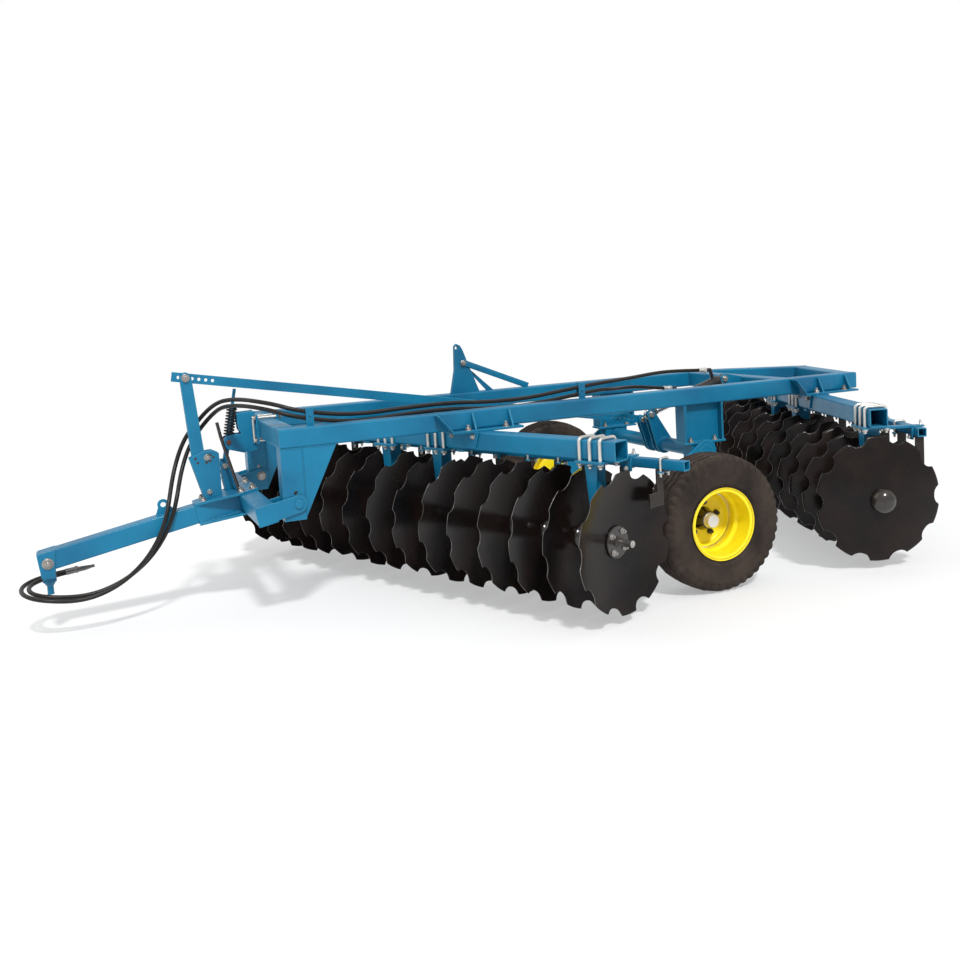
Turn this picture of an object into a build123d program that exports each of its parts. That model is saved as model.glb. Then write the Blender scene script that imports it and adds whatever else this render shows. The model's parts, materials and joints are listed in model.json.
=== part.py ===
from build123d import *
import os
from math import atan2, cos, degrees, hypot, pi, radians, sin, sqrt, tan

os.makedirs("parts", exist_ok=True)

# Millimetres. X points to the machine's left, -Y to its drawbar and Z up; the ground is at Z = 0.
# Lengths along the machine are counted from the front face of the frame, and heights from the
# lower edges of the discs. The finished pieces are moved by CENTRE_X and CENTRE_Y, so that the
# origin lies under the middle of the bounding box, and raised by LIFT, because the machine
# stands on its wheels with the discs clear of the ground.
CENTRE_X = 118.0
CENTRE_Y = 1641.2
LIFT = 51.0

# Frame
TUBE = 102.0
WALL = 6.0
TUBE_EDGE = 10.0
HALF_WIDTH = 597.0
BEAM_X = HALF_WIDTH - TUBE / 2
BEAM_TOP = 977.0
BEAM_LOW = BEAM_TOP - TUBE
BEAM_LENGTH = 3770.0
FAR_BEND_Y = BEAM_LENGTH - 330.0
FAR_END_X = -150.0
FAR_END_Y = BEAM_LENGTH + 205.0
MID_TUBE_Y = 3231.0
LEG_DEPTH = 112.0
LEG_LOW = 500.0
GUSSET_Y = 292.0

# Drawbar hinge on the legs
HINGE_Y = 73.0
HINGE_Z = 588.0
HINGE_PIN_R = 20.0
RUN_FIT = 0.05
DRAWBAR_TILT = 10.8

# Gangs: pitch of the discs, place of each gang's middle and its angle about Z
DISC_D = 711.0
DISC_R = DISC_D / 2
DISC_T = 6.0
DISC_DEPTH = 62.0
DISC_FLAT_R = 62.0
DISC_MID_R = 222.0
NOTCHES = 10
NOTCH_DEEP = 42.0
NOTCH_WIDE = 66.0
PITCH = 228.6
DISCS = 14
SHAFT_R = 17.0
SPOOL_R = 42.0
GANG_BEAM_LONG = 2990.0
GANG_BEAM_SHIFT = 30.0
GANG_BEAM_TOP = BEAM_LOW - 12.0
GANG_BEAM_LOW = GANG_BEAM_TOP - TUBE
FRONT_GANG = dict(x=160.0, y=902.0, turn=22.2, bowl=-1)
REAR_GANG = dict(x=84.0, y=BEAM_LENGTH - 149.0, turn=-20.0, bowl=1)

# Rockshaft, levers and wheels
ROCK_Y = 2560.0
ROCK_Z = 585.0
ROCK_R = 44.5
BAR_LEVER = (2478.0, 740.0)
RAM_LEVER = (2470.0, 785.0)
RAM_ANCHOR = (MID_TUBE_Y - 181.0, 970.0)
RAM_X = 120.0
WHEEL_Y = 2158.0
TYRE_R = 372.0
TYRE_W = 250.0
HUB_Z = TYRE_R - LIFT
RIM_R = 196.0
NEAR_WHEEL_X = 1250.0
FAR_WHEEL_X = -HALF_WIDTH - 178.0
ARM_THICK = 20.0
POST_PIN = (-370.0, 1245.0)

steel_gap = 0.3


def box(x0, x1, y0, y1, z0, z1):
    return Pos((x0 + x1) / 2, (y0 + y1) / 2, (z0 + z1) / 2) * Box(abs(x1 - x0), abs(y1 - y0), abs(z1 - z0))


def rod(start, end, radius):
    a = Vector(*start)
    b = Vector(*end)
    along = b - a
    plane = Plane(origin=a, z_dir=along)
    return extrude(plane * Circle(radius), along.length)


def ring(start, end, outer, inner):
    return rod(start, end, outer) - rod(start, end, inner)


def side_plate(points, x0, x1):
    # a plate in the Y-Z plane, from x0 to x1
    face = make_face(Polyline(*[(0, y, z) for y, z in points], close=True))
    return Pos(x0, 0, 0) * extrude(face, x1 - x0, dir=(1, 0, 0))


def flat_plate(points, z0, z1):
    # a plate in the X-Y plane, from z0 to z1
    face = make_face(Polyline(*[(x, y, 0) for x, y in points], close=True))
    return Pos(0, 0, z0) * extrude(face, z1 - z0, dir=(0, 0, 1))


def beam(a, b, wide, high, low, edge):
    # a square tube's outside along a line on the ground plan from a to b
    long = hypot(b[0] - a[0], b[1] - a[1])
    turn = degrees(atan2(b[1] - a[1], b[0] - a[0]))
    solid = Pos(long / 2, 0, low + high / 2) * Box(long, wide, high)
    if edge > 0:
        solid = fillet(solid.edges().filter_by(Axis.X), edge)
    return Pos(a[0], a[1], 0) * Rot(0, 0, turn) * solid


def move_in(solid):
    return Pos(-CENTRE_X, -CENTRE_Y, LIFT) * solid


def put(node, solids):
    if not isinstance(solids, (list, tuple)):
        solids = [solids]
    moved = [move_in(s) for s in solids]
    whole = moved[0] if len(moved) == 1 else Compound(children=moved)
    export_step(whole, "parts/" + node + ".step")
    print(node, len(whole.solids()), "solids", round(whole.volume / 1e9 * 7850, 1), "kg as steel")


def straddle(x, wide, gap, y0, y1):
    return [(x - gap - wide, x - gap), (x + gap, x + gap + wide)]


# Main frame: two longitudinal tubes, cross tubes, and the bent rear of the far tube
def frame_tubes(grow, edge):
    wide = TUBE - 2 * grow
    low = BEAM_LOW + grow
    runs = [
        ((BEAM_X, grow), (BEAM_X, BEAM_LENGTH - grow)),
        ((-BEAM_X, grow), (-BEAM_X, FAR_BEND_Y + 10)),
        ((-BEAM_X, FAR_BEND_Y), (FAR_END_X, FAR_END_Y)),
        ((-BEAM_X, TUBE / 2), (BEAM_X, TUBE / 2)),
        ((-BEAM_X, MID_TUBE_Y), (BEAM_X, MID_TUBE_Y)),
        ((FAR_END_X - 10, FAR_END_Y - 45), (BEAM_X, BEAM_LENGTH - TUBE / 2)),
    ]
    whole = None
    for a, b in runs:
        tube = beam(a, b, wide, wide, low, edge)
        whole = tube if whole is None else whole + tube
    return whole


put("main_frame", frame_tubes(0, TUBE_EDGE) - frame_tubes(WALL, 0))

# Front legs, one under the front end of each longitudinal tube, with a rear gusset
legs = []
for side in (-1, 1):
    x0 = side * BEAM_X - TUBE / 2
    x1 = side * BEAM_X + TUBE / 2
    leg = box(x0, x1, 0, LEG_DEPTH, LEG_LOW, BEAM_LOW)
    leg -= box(x0 + WALL, x1 - WALL, WALL, LEG_DEPTH - WALL, LEG_LOW - 1, BEAM_LOW - WALL)
    gusset = side_plate([(LEG_DEPTH, BEAM_LOW), (GUSSET_Y, BEAM_LOW), (LEG_DEPTH, LEG_LOW + 12)], x0, x1)
    gusset -= side_plate([(LEG_DEPTH - 1, BEAM_LOW - 8), (GUSSET_Y - 18, BEAM_LOW - 8),
                          (LEG_DEPTH - 1, LEG_LOW + 46)], x0 + 8, x1 - 8)
    leg += gusset
    leg += rod((x0, HINGE_Y, HINGE_Z), (x1, HINGE_Y, HINGE_Z), 32)
    leg += rod((x0, 64, 643), (x1, 64, 643), 20)
    leg -= rod((x0 - 1, HINGE_Y, HINGE_Z), (x1 + 1, HINGE_Y, HINGE_Z), HINGE_PIN_R + RUN_FIT)
    leg -= rod((x0 - 1, 64, 643), (x1 + 1, 64, 643), 11)
    legs.append(leg)
put("front_legs", legs)


# Gang carriers: a base plate clamped between frame tube and gang beam, bent up at its front end,
# with two gussets beside the tube and a saddle that grips the gang beam from both sides
BASE_T = 12.0
BASE_OUT = 66.0
SADDLE_T = 10.0


def carrier(x, y, outward):
    edge = x + outward * TUBE / 2
    back = x - outward * TUBE / 2
    tip = edge + outward * BASE_OUT
    base = box(min(back, tip), max(back, tip), y - 205, y + 215, BEAM_LOW - BASE_T, BEAM_LOW)
    for gy in (y - 70, y + 150):
        tri = Polyline((edge, gy, BEAM_LOW), (edge, gy, BEAM_TOP - 12), (edge + outward * 14, gy, BEAM_TOP - 12),
                       (tip - outward * 4, gy, BEAM_LOW), close=True)
        base += extrude(make_face(tri), 10, dir=(0, 1, 0))
    bent = side_plate([(y - 205, BEAM_LOW), (y - 195, BEAM_LOW), (y - 275, BEAM_TOP - 6),
                       (y - 285, BEAM_TOP - 6)], min(edge, tip), max(edge, tip))
    return base + bent


def saddle(gang, x):
    # plates against the gang beam's two sides, wider at the top, hung from the base plate
    s = (x - gang["x"]) / cos(radians(gang["turn"]))
    found = []
    for side in (-1, 1):
        near = side * TUBE / 2
        far = side * (TUBE / 2 + SADDLE_T)
        t0, t1 = min(near, far), max(near, far)
        face = Polyline((s - 130, t0, GANG_BEAM_TOP), (s + 130, t0, GANG_BEAM_TOP),
                        (s + 95, t0, GANG_BEAM_LOW + 14), (s - 95, t0, GANG_BEAM_LOW + 14), close=True)
        found.append(on_gang(gang, extrude(make_face(face), t1 - t0, dir=(0, 1, 0))))
    return found


def gang_at(gang, x):
    return gang["y"] + (x - gang["x"]) * tan(radians(gang["turn"]))


def on_gang(gang, solid):
    return Pos(gang["x"], gang["y"], 0) * Rot(0, 0, gang["turn"]) * solid


FAR_REAR_X = -354.0
carriers = []
for gang, x, outward in ((FRONT_GANG, BEAM_X, 1), (FRONT_GANG, -BEAM_X, -1), (REAR_GANG, BEAM_X, 1)):
    solid = carrier(x, gang_at(gang, x) + 60, outward)
    for plate in saddle(gang, x):
        solid += plate
    carriers.append(solid)
far_rear_y = gang_at(REAR_GANG, FAR_REAR_X)
solid = box(FAR_REAR_X - 130, FAR_REAR_X + 130, far_rear_y - 110, far_rear_y + 110, BEAM_LOW - BASE_T, BEAM_LOW)
for plate in saddle(REAR_GANG, FAR_REAR_X):
    solid += plate
carriers.append(solid)
put("gang_carriers", carriers)


def gang_beam(gang):
    # the beam is moved along with the bearings, which sit on the side that the bowls bulge to
    left = GANG_BEAM_LONG / 2 + gang["bowl"] * GANG_BEAM_SHIFT + (18 if gang["bowl"] < 0 else 0)
    right = left - GANG_BEAM_LONG
    outer = beam((right, 0), (left, 0), TUBE, TUBE, GANG_BEAM_LOW, TUBE_EDGE)
    inner = box(right - 1, left + 1, -TUBE / 2 + WALL, TUBE / 2 - WALL, GANG_BEAM_LOW + WALL, GANG_BEAM_TOP - WALL)
    return outer - inner


put("gang_beams", [on_gang(gang, gang_beam(gang)) for gang in (FRONT_GANG, REAR_GANG)])

# Bearing hangers at four gaps between discs, counted in pitches from the gang's middle
HANGER_GAPS = (6.0, 1.0, -1.0, -6.0)
HOUSING_R = 72.0
HOUSING_W = 84.0


def hangers(gang):
    # top pad, upright web, a front flange that tapers downwards, a foot plate and the bearing housing
    found = []
    foot = DISC_R + HOUSING_R - 4
    for gap in HANGER_GAPS:
        s = gap * PITCH + gang["bowl"] * 40
        solid = box(s - 85, s + 85, -82, 82, GANG_BEAM_LOW - 12, GANG_BEAM_LOW)
        solid += box(s - 6, s + 6, -48, 48, foot, GANG_BEAM_LOW - 12)
        face = Polyline((s - 40, -58, GANG_BEAM_LOW - 12), (s + 40, -58, GANG_BEAM_LOW - 12),
                        (s + 9, -58, foot + 12), (s - 9, -58, foot + 12), close=True)
        solid += extrude(make_face(face), 10, dir=(0, 1, 0))
        solid += box(s - 38, s + 38, -78, 78, foot, foot + 12)
        solid += rod((s - HOUSING_W / 2, 0, DISC_R), (s + HOUSING_W / 2, 0, DISC_R), HOUSING_R)
        solid -= rod((s - HOUSING_W, 0, DISC_R), (s + HOUSING_W, 0, DISC_R), SPOOL_R + RUN_FIT)
        found.append(on_gang(gang, solid))
    return found


put("front_hangers", hangers(FRONT_GANG))
put("rear_hangers", hangers(REAR_GANG))


# Discs: dished, with notched rims, on a stepped shaft that carries the spools between them
def disc_blank():
    # in local axes: shaft along X, rim plane at X = 0, hub at X = -DISC_DEPTH
    t = DISC_T
    ball = (DISC_R ** 2 - DISC_FLAT_R ** 2 + DISC_DEPTH ** 2) / (2 * DISC_DEPTH)
    mid = sqrt(ball ** 2 - DISC_MID_R ** 2 + DISC_FLAT_R ** 2) - ball
    with BuildSketch(Plane.XZ) as profile:
        with BuildLine():
            Polyline((-DISC_DEPTH - t, SHAFT_R + steel_gap), (-DISC_DEPTH - t, DISC_FLAT_R),
                     (-DISC_DEPTH - mid - t, DISC_MID_R), (-t, DISC_R), (0, DISC_R),
                     (-DISC_DEPTH - mid, DISC_MID_R), (-DISC_DEPTH, DISC_FLAT_R),
                     (-DISC_DEPTH, SHAFT_R + steel_gap), close=True)
        make_face()
    solid = revolve(profile.sketch, Axis.X)
    for k in range(NOTCHES):
        deep = DISC_R - NOTCH_DEEP
        cutter = Pos(-t / 2, 0, deep + 60) * Box(60, NOTCH_WIDE, 120)
        cutter = fillet(cutter.edges().filter_by(Axis.X).group_by(Axis.Z)[0], NOTCH_WIDE * 0.42)
        solid -= Rot(360 / NOTCHES * (k + 0.5), 0, 0) * cutter
    return solid


BLANK = disc_blank()


def disc_place(gang, k):
    # the rim plane's place along the gang, counted from its middle towards the left end
    return (6.5 - k) * PITCH


def gang_discs(gang, first, last):
    found = []
    for k in range(first, last + 1):
        solid = Rot(11.0 * k, 0, 0) * BLANK
        if gang["bowl"] > 0:
            solid = Rot(0, 0, 180) * solid
        found.append(on_gang(gang, Pos(disc_place(gang, k), 0, DISC_R) * solid))
    return found


END_PLATE_R = 84.0
END_PLATE_T = 14.0
NUT_T = 30.0
STUB = 62.0


def gang_shaft(gang, first, last):
    # radius steps along the shaft, each disc's hub sitting in a groove of its thickness
    hubs = []
    for k in range(first, last + 1):
        rim = disc_place(gang, k)
        a = rim + gang["bowl"] * DISC_DEPTH
        b = a + gang["bowl"] * DISC_T
        hubs.append((min(a, b), max(a, b)))
    hubs.sort()
    left = hubs[0][0]
    right = hubs[-1][1]
    steps = [(left - END_PLATE_T - NUT_T - STUB, left - END_PLATE_T - NUT_T, SHAFT_R),
             (left - END_PLATE_T - NUT_T, left - END_PLATE_T, 30.0),
             (left - END_PLATE_T, left, 50.0)]
    for i, (a, b) in enumerate(hubs):
        steps.append((a, b, SHAFT_R))
        if i + 1 < len(hubs):
            steps.append((b, hubs[i + 1][0], SPOOL_R))
    steps += [(right, right + END_PLATE_T, 50.0),
              (right + END_PLATE_T, right + END_PLATE_T + NUT_T, 30.0),
              (right + END_PLATE_T + NUT_T, right + END_PLATE_T + NUT_T + STUB, SHAFT_R)]
    points = [(steps[0][0], 0)]
    for a, b, r in steps:
        points += [(a, r), (b, r)]
    points.append((steps[-1][1], 0))
    with BuildSketch(Plane.XZ) as profile:
        with BuildLine():
            Polyline(*points, close=True)
        make_face()
    solid = Pos(0, 0, DISC_R) * revolve(profile.sketch, Axis.X)
    return on_gang(gang, solid)


for name, gang in (("front", FRONT_GANG), ("rear", REAR_GANG)):
    for part, first, last in (("left", 0, 6), ("right", 7, 13)):
        put(name + "_" + part + "_discs", gang_discs(gang, first, last))
        put(name + "_" + part + "_shaft", gang_shaft(gang, first, last))

# Scraper bars behind each gang, on short arms from the gang beam, with a blade for each disc
SCRAPER_T = 262.0
SCRAPER_Z = 712.0
SCRAPER_TUBE = 50.0


def scraper_bar(gang, left_end, right_end):
    half = SCRAPER_TUBE / 2
    outer = box(right_end, left_end, SCRAPER_T - half, SCRAPER_T + half, SCRAPER_Z - half, SCRAPER_Z + half)
    inner = box(right_end - 1, left_end + 1, SCRAPER_T - half + 5, SCRAPER_T + half - 5,
                SCRAPER_Z - half + 5, SCRAPER_Z + half - 5)
    solid = outer - inner
    for arm_at in (1150.0, 380.0, -470.0, -1200.0):
        s = arm_at * -gang["bowl"]
        arm = box(s - 25, s + 25, -TUBE / 2, SCRAPER_T - half, GANG_BEAM_LOW - 14, GANG_BEAM_LOW)
        arm += box(s - 25, s + 25, SCRAPER_T - half - 12, SCRAPER_T - half, SCRAPER_Z - half, GANG_BEAM_LOW)
        solid += arm
    return on_gang(gang, solid)


def scrapers(gang):
    found = []
    half = SCRAPER_TUBE / 2
    for k in range(DISCS):
        # the blade stands just off the hollow face of its disc
        s = disc_place(gang, k) - gang["bowl"] * 26
        shank = box(s - 5, s + 5, SCRAPER_T - half - 4, SCRAPER_T + half - 4, 560, SCRAPER_Z - half)
        top = box(s - 5, s + 55 * -gang["bowl"], SCRAPER_T - half, SCRAPER_T + half, SCRAPER_Z - half - 8,
                  SCRAPER_Z - half)
        blade = box(s - 5, s + 5, 170, SCRAPER_T + half - 4, 500, 570)
        found.append(on_gang(gang, shank + top + blade))
    return found


put("scraper_bars", [scraper_bar(FRONT_GANG, 1680.0, -1500.0), scraper_bar(REAR_GANG, 1560.0, -1560.0)])
put("front_scrapers", scrapers(FRONT_GANG))
put("rear_scrapers", scrapers(REAR_GANG))

# Rockshaft carriers: a box bracket under each longitudinal tube with the shaft's bearing below it
BOX_FRONT = 2430.0
BOX_BACK = 2710.0
FLANGE_Z = 646.0
boxes = []
for side in (-1, 1):
    x0 = side * BEAM_X - TUBE / 2
    x1 = side * BEAM_X + TUBE / 2
    mid = side * BEAM_X
    solid = box(x0, x1, BOX_FRONT, BOX_FRONT + 12, FLANGE_Z, BEAM_LOW)
    solid += box(x0, x1, BOX_BACK - 12, BOX_BACK, FLANGE_Z, BEAM_LOW)
    solid += box(mid - 6, mid + 6, BOX_FRONT, BOX_BACK, FLANGE_Z, BEAM_LOW)
    solid += box(x0 - 6, x1 + 6, BOX_FRONT - 6, BOX_BACK + 10, FLANGE_Z - 12, FLANGE_Z)
    solid += box(mid - 48, mid + 48, ROCK_Y - 85, ROCK_Y + 85, ROCK_Z - 62, FLANGE_Z - 12)
    solid -= rod((x0 - 9, ROCK_Y, ROCK_Z), (x1 + 9, ROCK_Y, ROCK_Z), ROCK_R + RUN_FIT)
    boxes.append(solid)
put("rockshaft_carriers", boxes)

# Rockshaft with its two levers; the wheel arms are welded on it
LEVER_T = 12.0
BAR_T = 16.0
EYE_T = 24.0
LEVER_PIN_R = 9.0
RAM_PIN_R = 11.0
FAR_ARM_X = (FAR_WHEEL_X + TYRE_W / 2 + 23, FAR_WHEEL_X + TYRE_W / 2 + 23 + ARM_THICK)
NEAR_ARM_X = (-FAR_ARM_X[1], -FAR_ARM_X[0])


def link_plate(a, b, ra, rb, x0, x1):
    # a lever plate between two round ends in the Y-Z plane
    dy = b[0] - a[0]
    dz = b[1] - a[1]
    long = hypot(dy, dz)
    uy, uz = dy / long, dz / long
    ny, nz = -uz, uy
    body = side_plate([(a[0] + ny * ra, a[1] + nz * ra), (b[0] + ny * rb, b[1] + nz * rb),
                       (b[0] - ny * rb, b[1] - nz * rb), (a[0] - ny * ra, a[1] - nz * ra)], x0, x1)
    body += rod((x0, a[0], a[1]), (x1, a[0], a[1]), ra)
    return body + rod((x0, b[0], b[1]), (x1, b[0], b[1]), rb)


rock = rod((FAR_ARM_X[0], ROCK_Y, ROCK_Z), (NEAR_ARM_X[1], ROCK_Y, ROCK_Z), ROCK_R)
for x0, x1 in straddle(0, LEVER_T, BAR_T / 2 + 2, 0, 0):
    rock += link_plate((ROCK_Y, ROCK_Z), BAR_LEVER, 62, 30, x0, x1)
reach = BAR_T / 2 + 2 + LEVER_T + 8
rock += rod((-reach, *BAR_LEVER), (reach, *BAR_LEVER), LEVER_PIN_R)
for x0, x1 in straddle(RAM_X, LEVER_T, EYE_T / 2 + 2, 0, 0):
    rock += link_plate((ROCK_Y, ROCK_Z), RAM_LEVER, 62, 30, x0, x1)
reach = EYE_T / 2 + 2 + LEVER_T + 8
rock += rod((RAM_X - reach, *RAM_LEVER), (RAM_X + reach, *RAM_LEVER), RAM_PIN_R)
put("rockshaft", rock)

# The near arm carries a long axle tube out to its wheel, the far arm only a spindle
SPINDLE_R = 22.0
AXLE_R = 36.0
HUB_LONG = 96.0
arms = []
for (x0, x1), wheel_x, side in ((NEAR_ARM_X, NEAR_WHEEL_X, 1), (FAR_ARM_X, FAR_WHEEL_X, -1)):
    arm = link_plate((ROCK_Y, ROCK_Z), (WHEEL_Y, HUB_Z), 70, 46, x0, x1)
    arm -= rod((x0 - 1, ROCK_Y, ROCK_Z), (x1 + 1, ROCK_Y, ROCK_Z), ROCK_R + steel_gap)
    start = x1 if side > 0 else x0
    hub_back = wheel_x - side * (TYRE_W / 2 - 6)
    if abs(hub_back - start) > TYRE_W:
        arm += rod((start, WHEEL_Y, HUB_Z), (hub_back - side * 8, WHEEL_Y, HUB_Z), AXLE_R)
    arm += rod((start, WHEEL_Y, HUB_Z), (hub_back + side * (HUB_LONG - 14), WHEEL_Y, HUB_Z), SPINDLE_R)
    arms.append(arm)
put("wheel_arms", arms)


# Wheels: tyre, and rim with hub, about X
def turned(points):
    # a solid turned about X from (x, radius) points
    return revolve(make_face(Polyline(*[(x, 0, r) for x, r in points], close=True)), Axis.X)


SIDEWALL_T = 14.0


def tyre(x):
    w = TYRE_W / 2
    high = TYRE_R - RIM_R
    outside = [(w * 0.80, RIM_R - 16), (w * 0.84, RIM_R + 8), (w, RIM_R + high * 0.5), (w * 0.94, TYRE_R - 34),
               (w * 0.74, TYRE_R - 8), (w * 0.30, TYRE_R)]
    inside = [(w * 0.66, RIM_R - 16), (w - SIDEWALL_T, RIM_R + high * 0.5), (w * 0.6, TYRE_R - 36)]
    points = [(-px, r) for px, r in outside] + outside[::-1] + inside + [(-px, r) for px, r in inside[::-1]]
    return Pos(x, WHEEL_Y, HUB_Z) * turned(points)


def rim(x, out):
    # a deep barrel between two flanges, the disc at its inner end, and the hub with its cap
    w = TYRE_W / 2
    seat = RIM_R - 16 - steel_gap
    solid = turned([(-w * 0.84, seat - 8), (-w * 0.84, seat), (w * 0.84, seat), (w * 0.84, seat - 8)])
    for end in (-1, 1):
        solid += turned([(end * w * 0.84, seat - 8), (end * w * 0.84, RIM_R), (end * w * 0.90, RIM_R),
                         (end * w * 0.90, seat - 8)])
    solid += turned([(-w * 0.54, seat - 4), (-w * 0.62, seat - 4), (-w * 0.78, 132), (-w * 0.78, 50),
                     (-w * 0.71, 50), (-w * 0.71, 128)])
    back = -w + 6
    hub = turned([(back, SPINDLE_R + RUN_FIT), (back, 66), (back + 44, 66), (back + 60, 54), (back + HUB_LONG, 50),
                  (back + HUB_LONG + 10, 43), (back + HUB_LONG + 44, 40), (back + HUB_LONG + 44, 0),
                  (back + HUB_LONG - 10, 0), (back + HUB_LONG - 10, SPINDLE_R + RUN_FIT)])
    solid += hub
    if out < 0:
        solid = Rot(0, 0, 180) * solid
    return Pos(x, WHEEL_Y, HUB_Z) * solid


put("left_tyre", tyre(NEAR_WHEEL_X))
put("left_rim", rim(NEAR_WHEEL_X, 1))
put("right_tyre", tyre(FAR_WHEEL_X))
put("right_rim", rim(FAR_WHEEL_X, -1))

# Cylinder between the middle cross tube and the rockshaft's lever
RAM_R = 38.0
ROD_R = 20.0
BARREL_LONG = 400.0
ROD_EYE_R = 37.0
ROD_HOLE_R = 27.5
lugs = []
for x0, x1 in straddle(RAM_X, LEVER_T, EYE_T / 2 + 2, 0, 0):
    lug = side_plate([(MID_TUBE_Y - TUBE / 2, BEAM_LOW + 20), (MID_TUBE_Y - TUBE / 2, BEAM_TOP),
                      (RAM_ANCHOR[0] + 20, 1002), (RAM_ANCHOR[0], 1004), (RAM_ANCHOR[0] - 30, 985),
                      (RAM_ANCHOR[0] - 32, 955), (RAM_ANCHOR[0] - 8, 936)], x0, x1)
    lugs.append(lug)
reach = EYE_T / 2 + 2 + LEVER_T + 8
anchor = lugs[0] + lugs[1] + rod((RAM_X - reach, *RAM_ANCHOR), (RAM_X + reach, *RAM_ANCHOR), 14)
put("cylinder_anchor", anchor)

ram_dy = RAM_LEVER[0] - RAM_ANCHOR[0]
ram_dz = RAM_LEVER[1] - RAM_ANCHOR[1]
ram_long = hypot(ram_dy, ram_dz)
uy, uz = ram_dy / ram_long, ram_dz / ram_long


def on_ram(d):
    return (RAM_X, RAM_ANCHOR[0] + uy * d, RAM_ANCHOR[1] + uz * d)


eye = rod((RAM_X - EYE_T / 2, *RAM_ANCHOR), (RAM_X + EYE_T / 2, *RAM_ANCHOR), 30)
barrel = rod(on_ram(42), on_ram(BARREL_LONG), RAM_R) + rod(on_ram(20), on_ram(44), 11)
barrel -= rod(on_ram(56), on_ram(BARREL_LONG - 34), RAM_R - 6)
barrel -= rod(on_ram(BARREL_LONG - 40), on_ram(BARREL_LONG + 1), ROD_R + RUN_FIT)
barrel += eye
barrel -= rod((RAM_X - EYE_T, *RAM_ANCHOR), (RAM_X + EYE_T, *RAM_ANCHOR), 14 + RUN_FIT)
PORT_R = 12.0
HOSE_R = 11.5
for d, high, reach in ((75.0, 95.0, 42.0), (370.0, 85.0, 40.0)):
    foot = on_ram(d)
    top = (RAM_X, foot[1] + uz * high, foot[2] - uy * high)
    end = (RAM_X, top[1] - reach, top[2])
    start = (RAM_X, foot[1] + uz * (RAM_R - 3), foot[2] - uy * (RAM_R - 3))
    barrel += rod(start, top, PORT_R) + Pos(*top) * Sphere(PORT_R) + rod(top, end, PORT_R)
    print("port end", [round(v, 1) for v in end])
put("cylinder_barrel", barrel)
piston = rod(on_ram(ram_long - 470), on_ram(ram_long - 440), RAM_R - 6 - steel_gap)
ram_rod = rod(on_ram(ram_long - 450), on_ram(ram_long - 52), ROD_R) + piston
ram_rod += link_plate(on_ram(ram_long - 58)[1:], RAM_LEVER, 17, 32, RAM_X - EYE_T / 2, RAM_X + EYE_T / 2)
ram_rod += rod((RAM_X - EYE_T / 2, *RAM_LEVER), (RAM_X + EYE_T / 2, *RAM_LEVER), ROD_EYE_R)
ram_rod -= rod((RAM_X - EYE_T, *RAM_LEVER), (RAM_X + EYE_T, *RAM_LEVER), ROD_HOLE_R)
put("cylinder_rod", ram_rod)


# Drawbar head in its own level axes, hinge at the origin, then tilted down to the hitch
def tilted(solid):
    return Pos(0, HINGE_Y, HINGE_Z) * Rot(DRAWBAR_TILT, 0, 0) * solid


HEAD_FRONT = -221.0
HEAD_BACK = -119.0
BAR_LOW = -57.0
BAR_TOP = 45.0
BAR_TIP = -1267.0
ARM_T = 12.0
ARM_GAP = 5.0

head = beam((-HALF_WIDTH - ARM_GAP - ARM_T, -170), (HALF_WIDTH + ARM_GAP + ARM_T, -170), TUBE, TUBE, BAR_LOW, TUBE_EDGE)
head -= box(-HALF_WIDTH - 30, HALF_WIDTH + 30, -170 - TUBE / 2 + WALL, -170 + TUBE / 2 - WALL, BAR_LOW + WALL,
            BAR_TOP - WALL)
for side in (-1, 1):
    mid = side * BEAM_X
    for x0, x1 in straddle(mid, ARM_T, TUBE / 2 + ARM_GAP, 0, 0):
        outer = abs(x0 + x1) / 2 > BEAM_X
        front = HEAD_FRONT if outer else (HEAD_FRONT + HEAD_BACK) / 2
        arm = side_plate([(front, BAR_TOP - 4), (0, 44), (0, -44), (front, BAR_LOW + 4)], x0, x1)
        arm += rod((x0, 0, 0), (x1, 0, 0), 44)
        if outer:
            arm += box(x0, x1, HEAD_FRONT + 1, HEAD_BACK - 1, BAR_LOW + 1, BAR_TOP - 1)
        else:
            arm -= box(x0 - 1, x1 + 1, front, HEAD_BACK, BAR_LOW + WALL, BAR_TOP - WALL)
        head += arm
    reach = TUBE / 2 + ARM_GAP + ARM_T + 14
    head += rod((mid - reach, 0, 0), (mid + reach, 0, 0), HINGE_PIN_R)
put("drawbar_yoke", tilted(head))

sleeve = flat_plate([(-62, -455), (62, -455), (150, HEAD_FRONT), (150, HEAD_BACK), (-150, HEAD_BACK),
                     (-150, HEAD_FRONT)], BAR_TOP, BAR_TOP + 12)
sleeve += flat_plate([(-62, -455), (62, -455), (150, HEAD_FRONT), (150, HEAD_BACK), (-150, HEAD_BACK),
                      (-150, HEAD_FRONT)], BAR_LOW - 12, BAR_LOW)
for x0, x1 in ((-60, -51), (51, 60)):
    sleeve += box(x0, x1, -455, HEAD_FRONT, BAR_LOW, BAR_TOP)
put("drawbar_plates", tilted(sleeve))

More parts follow.
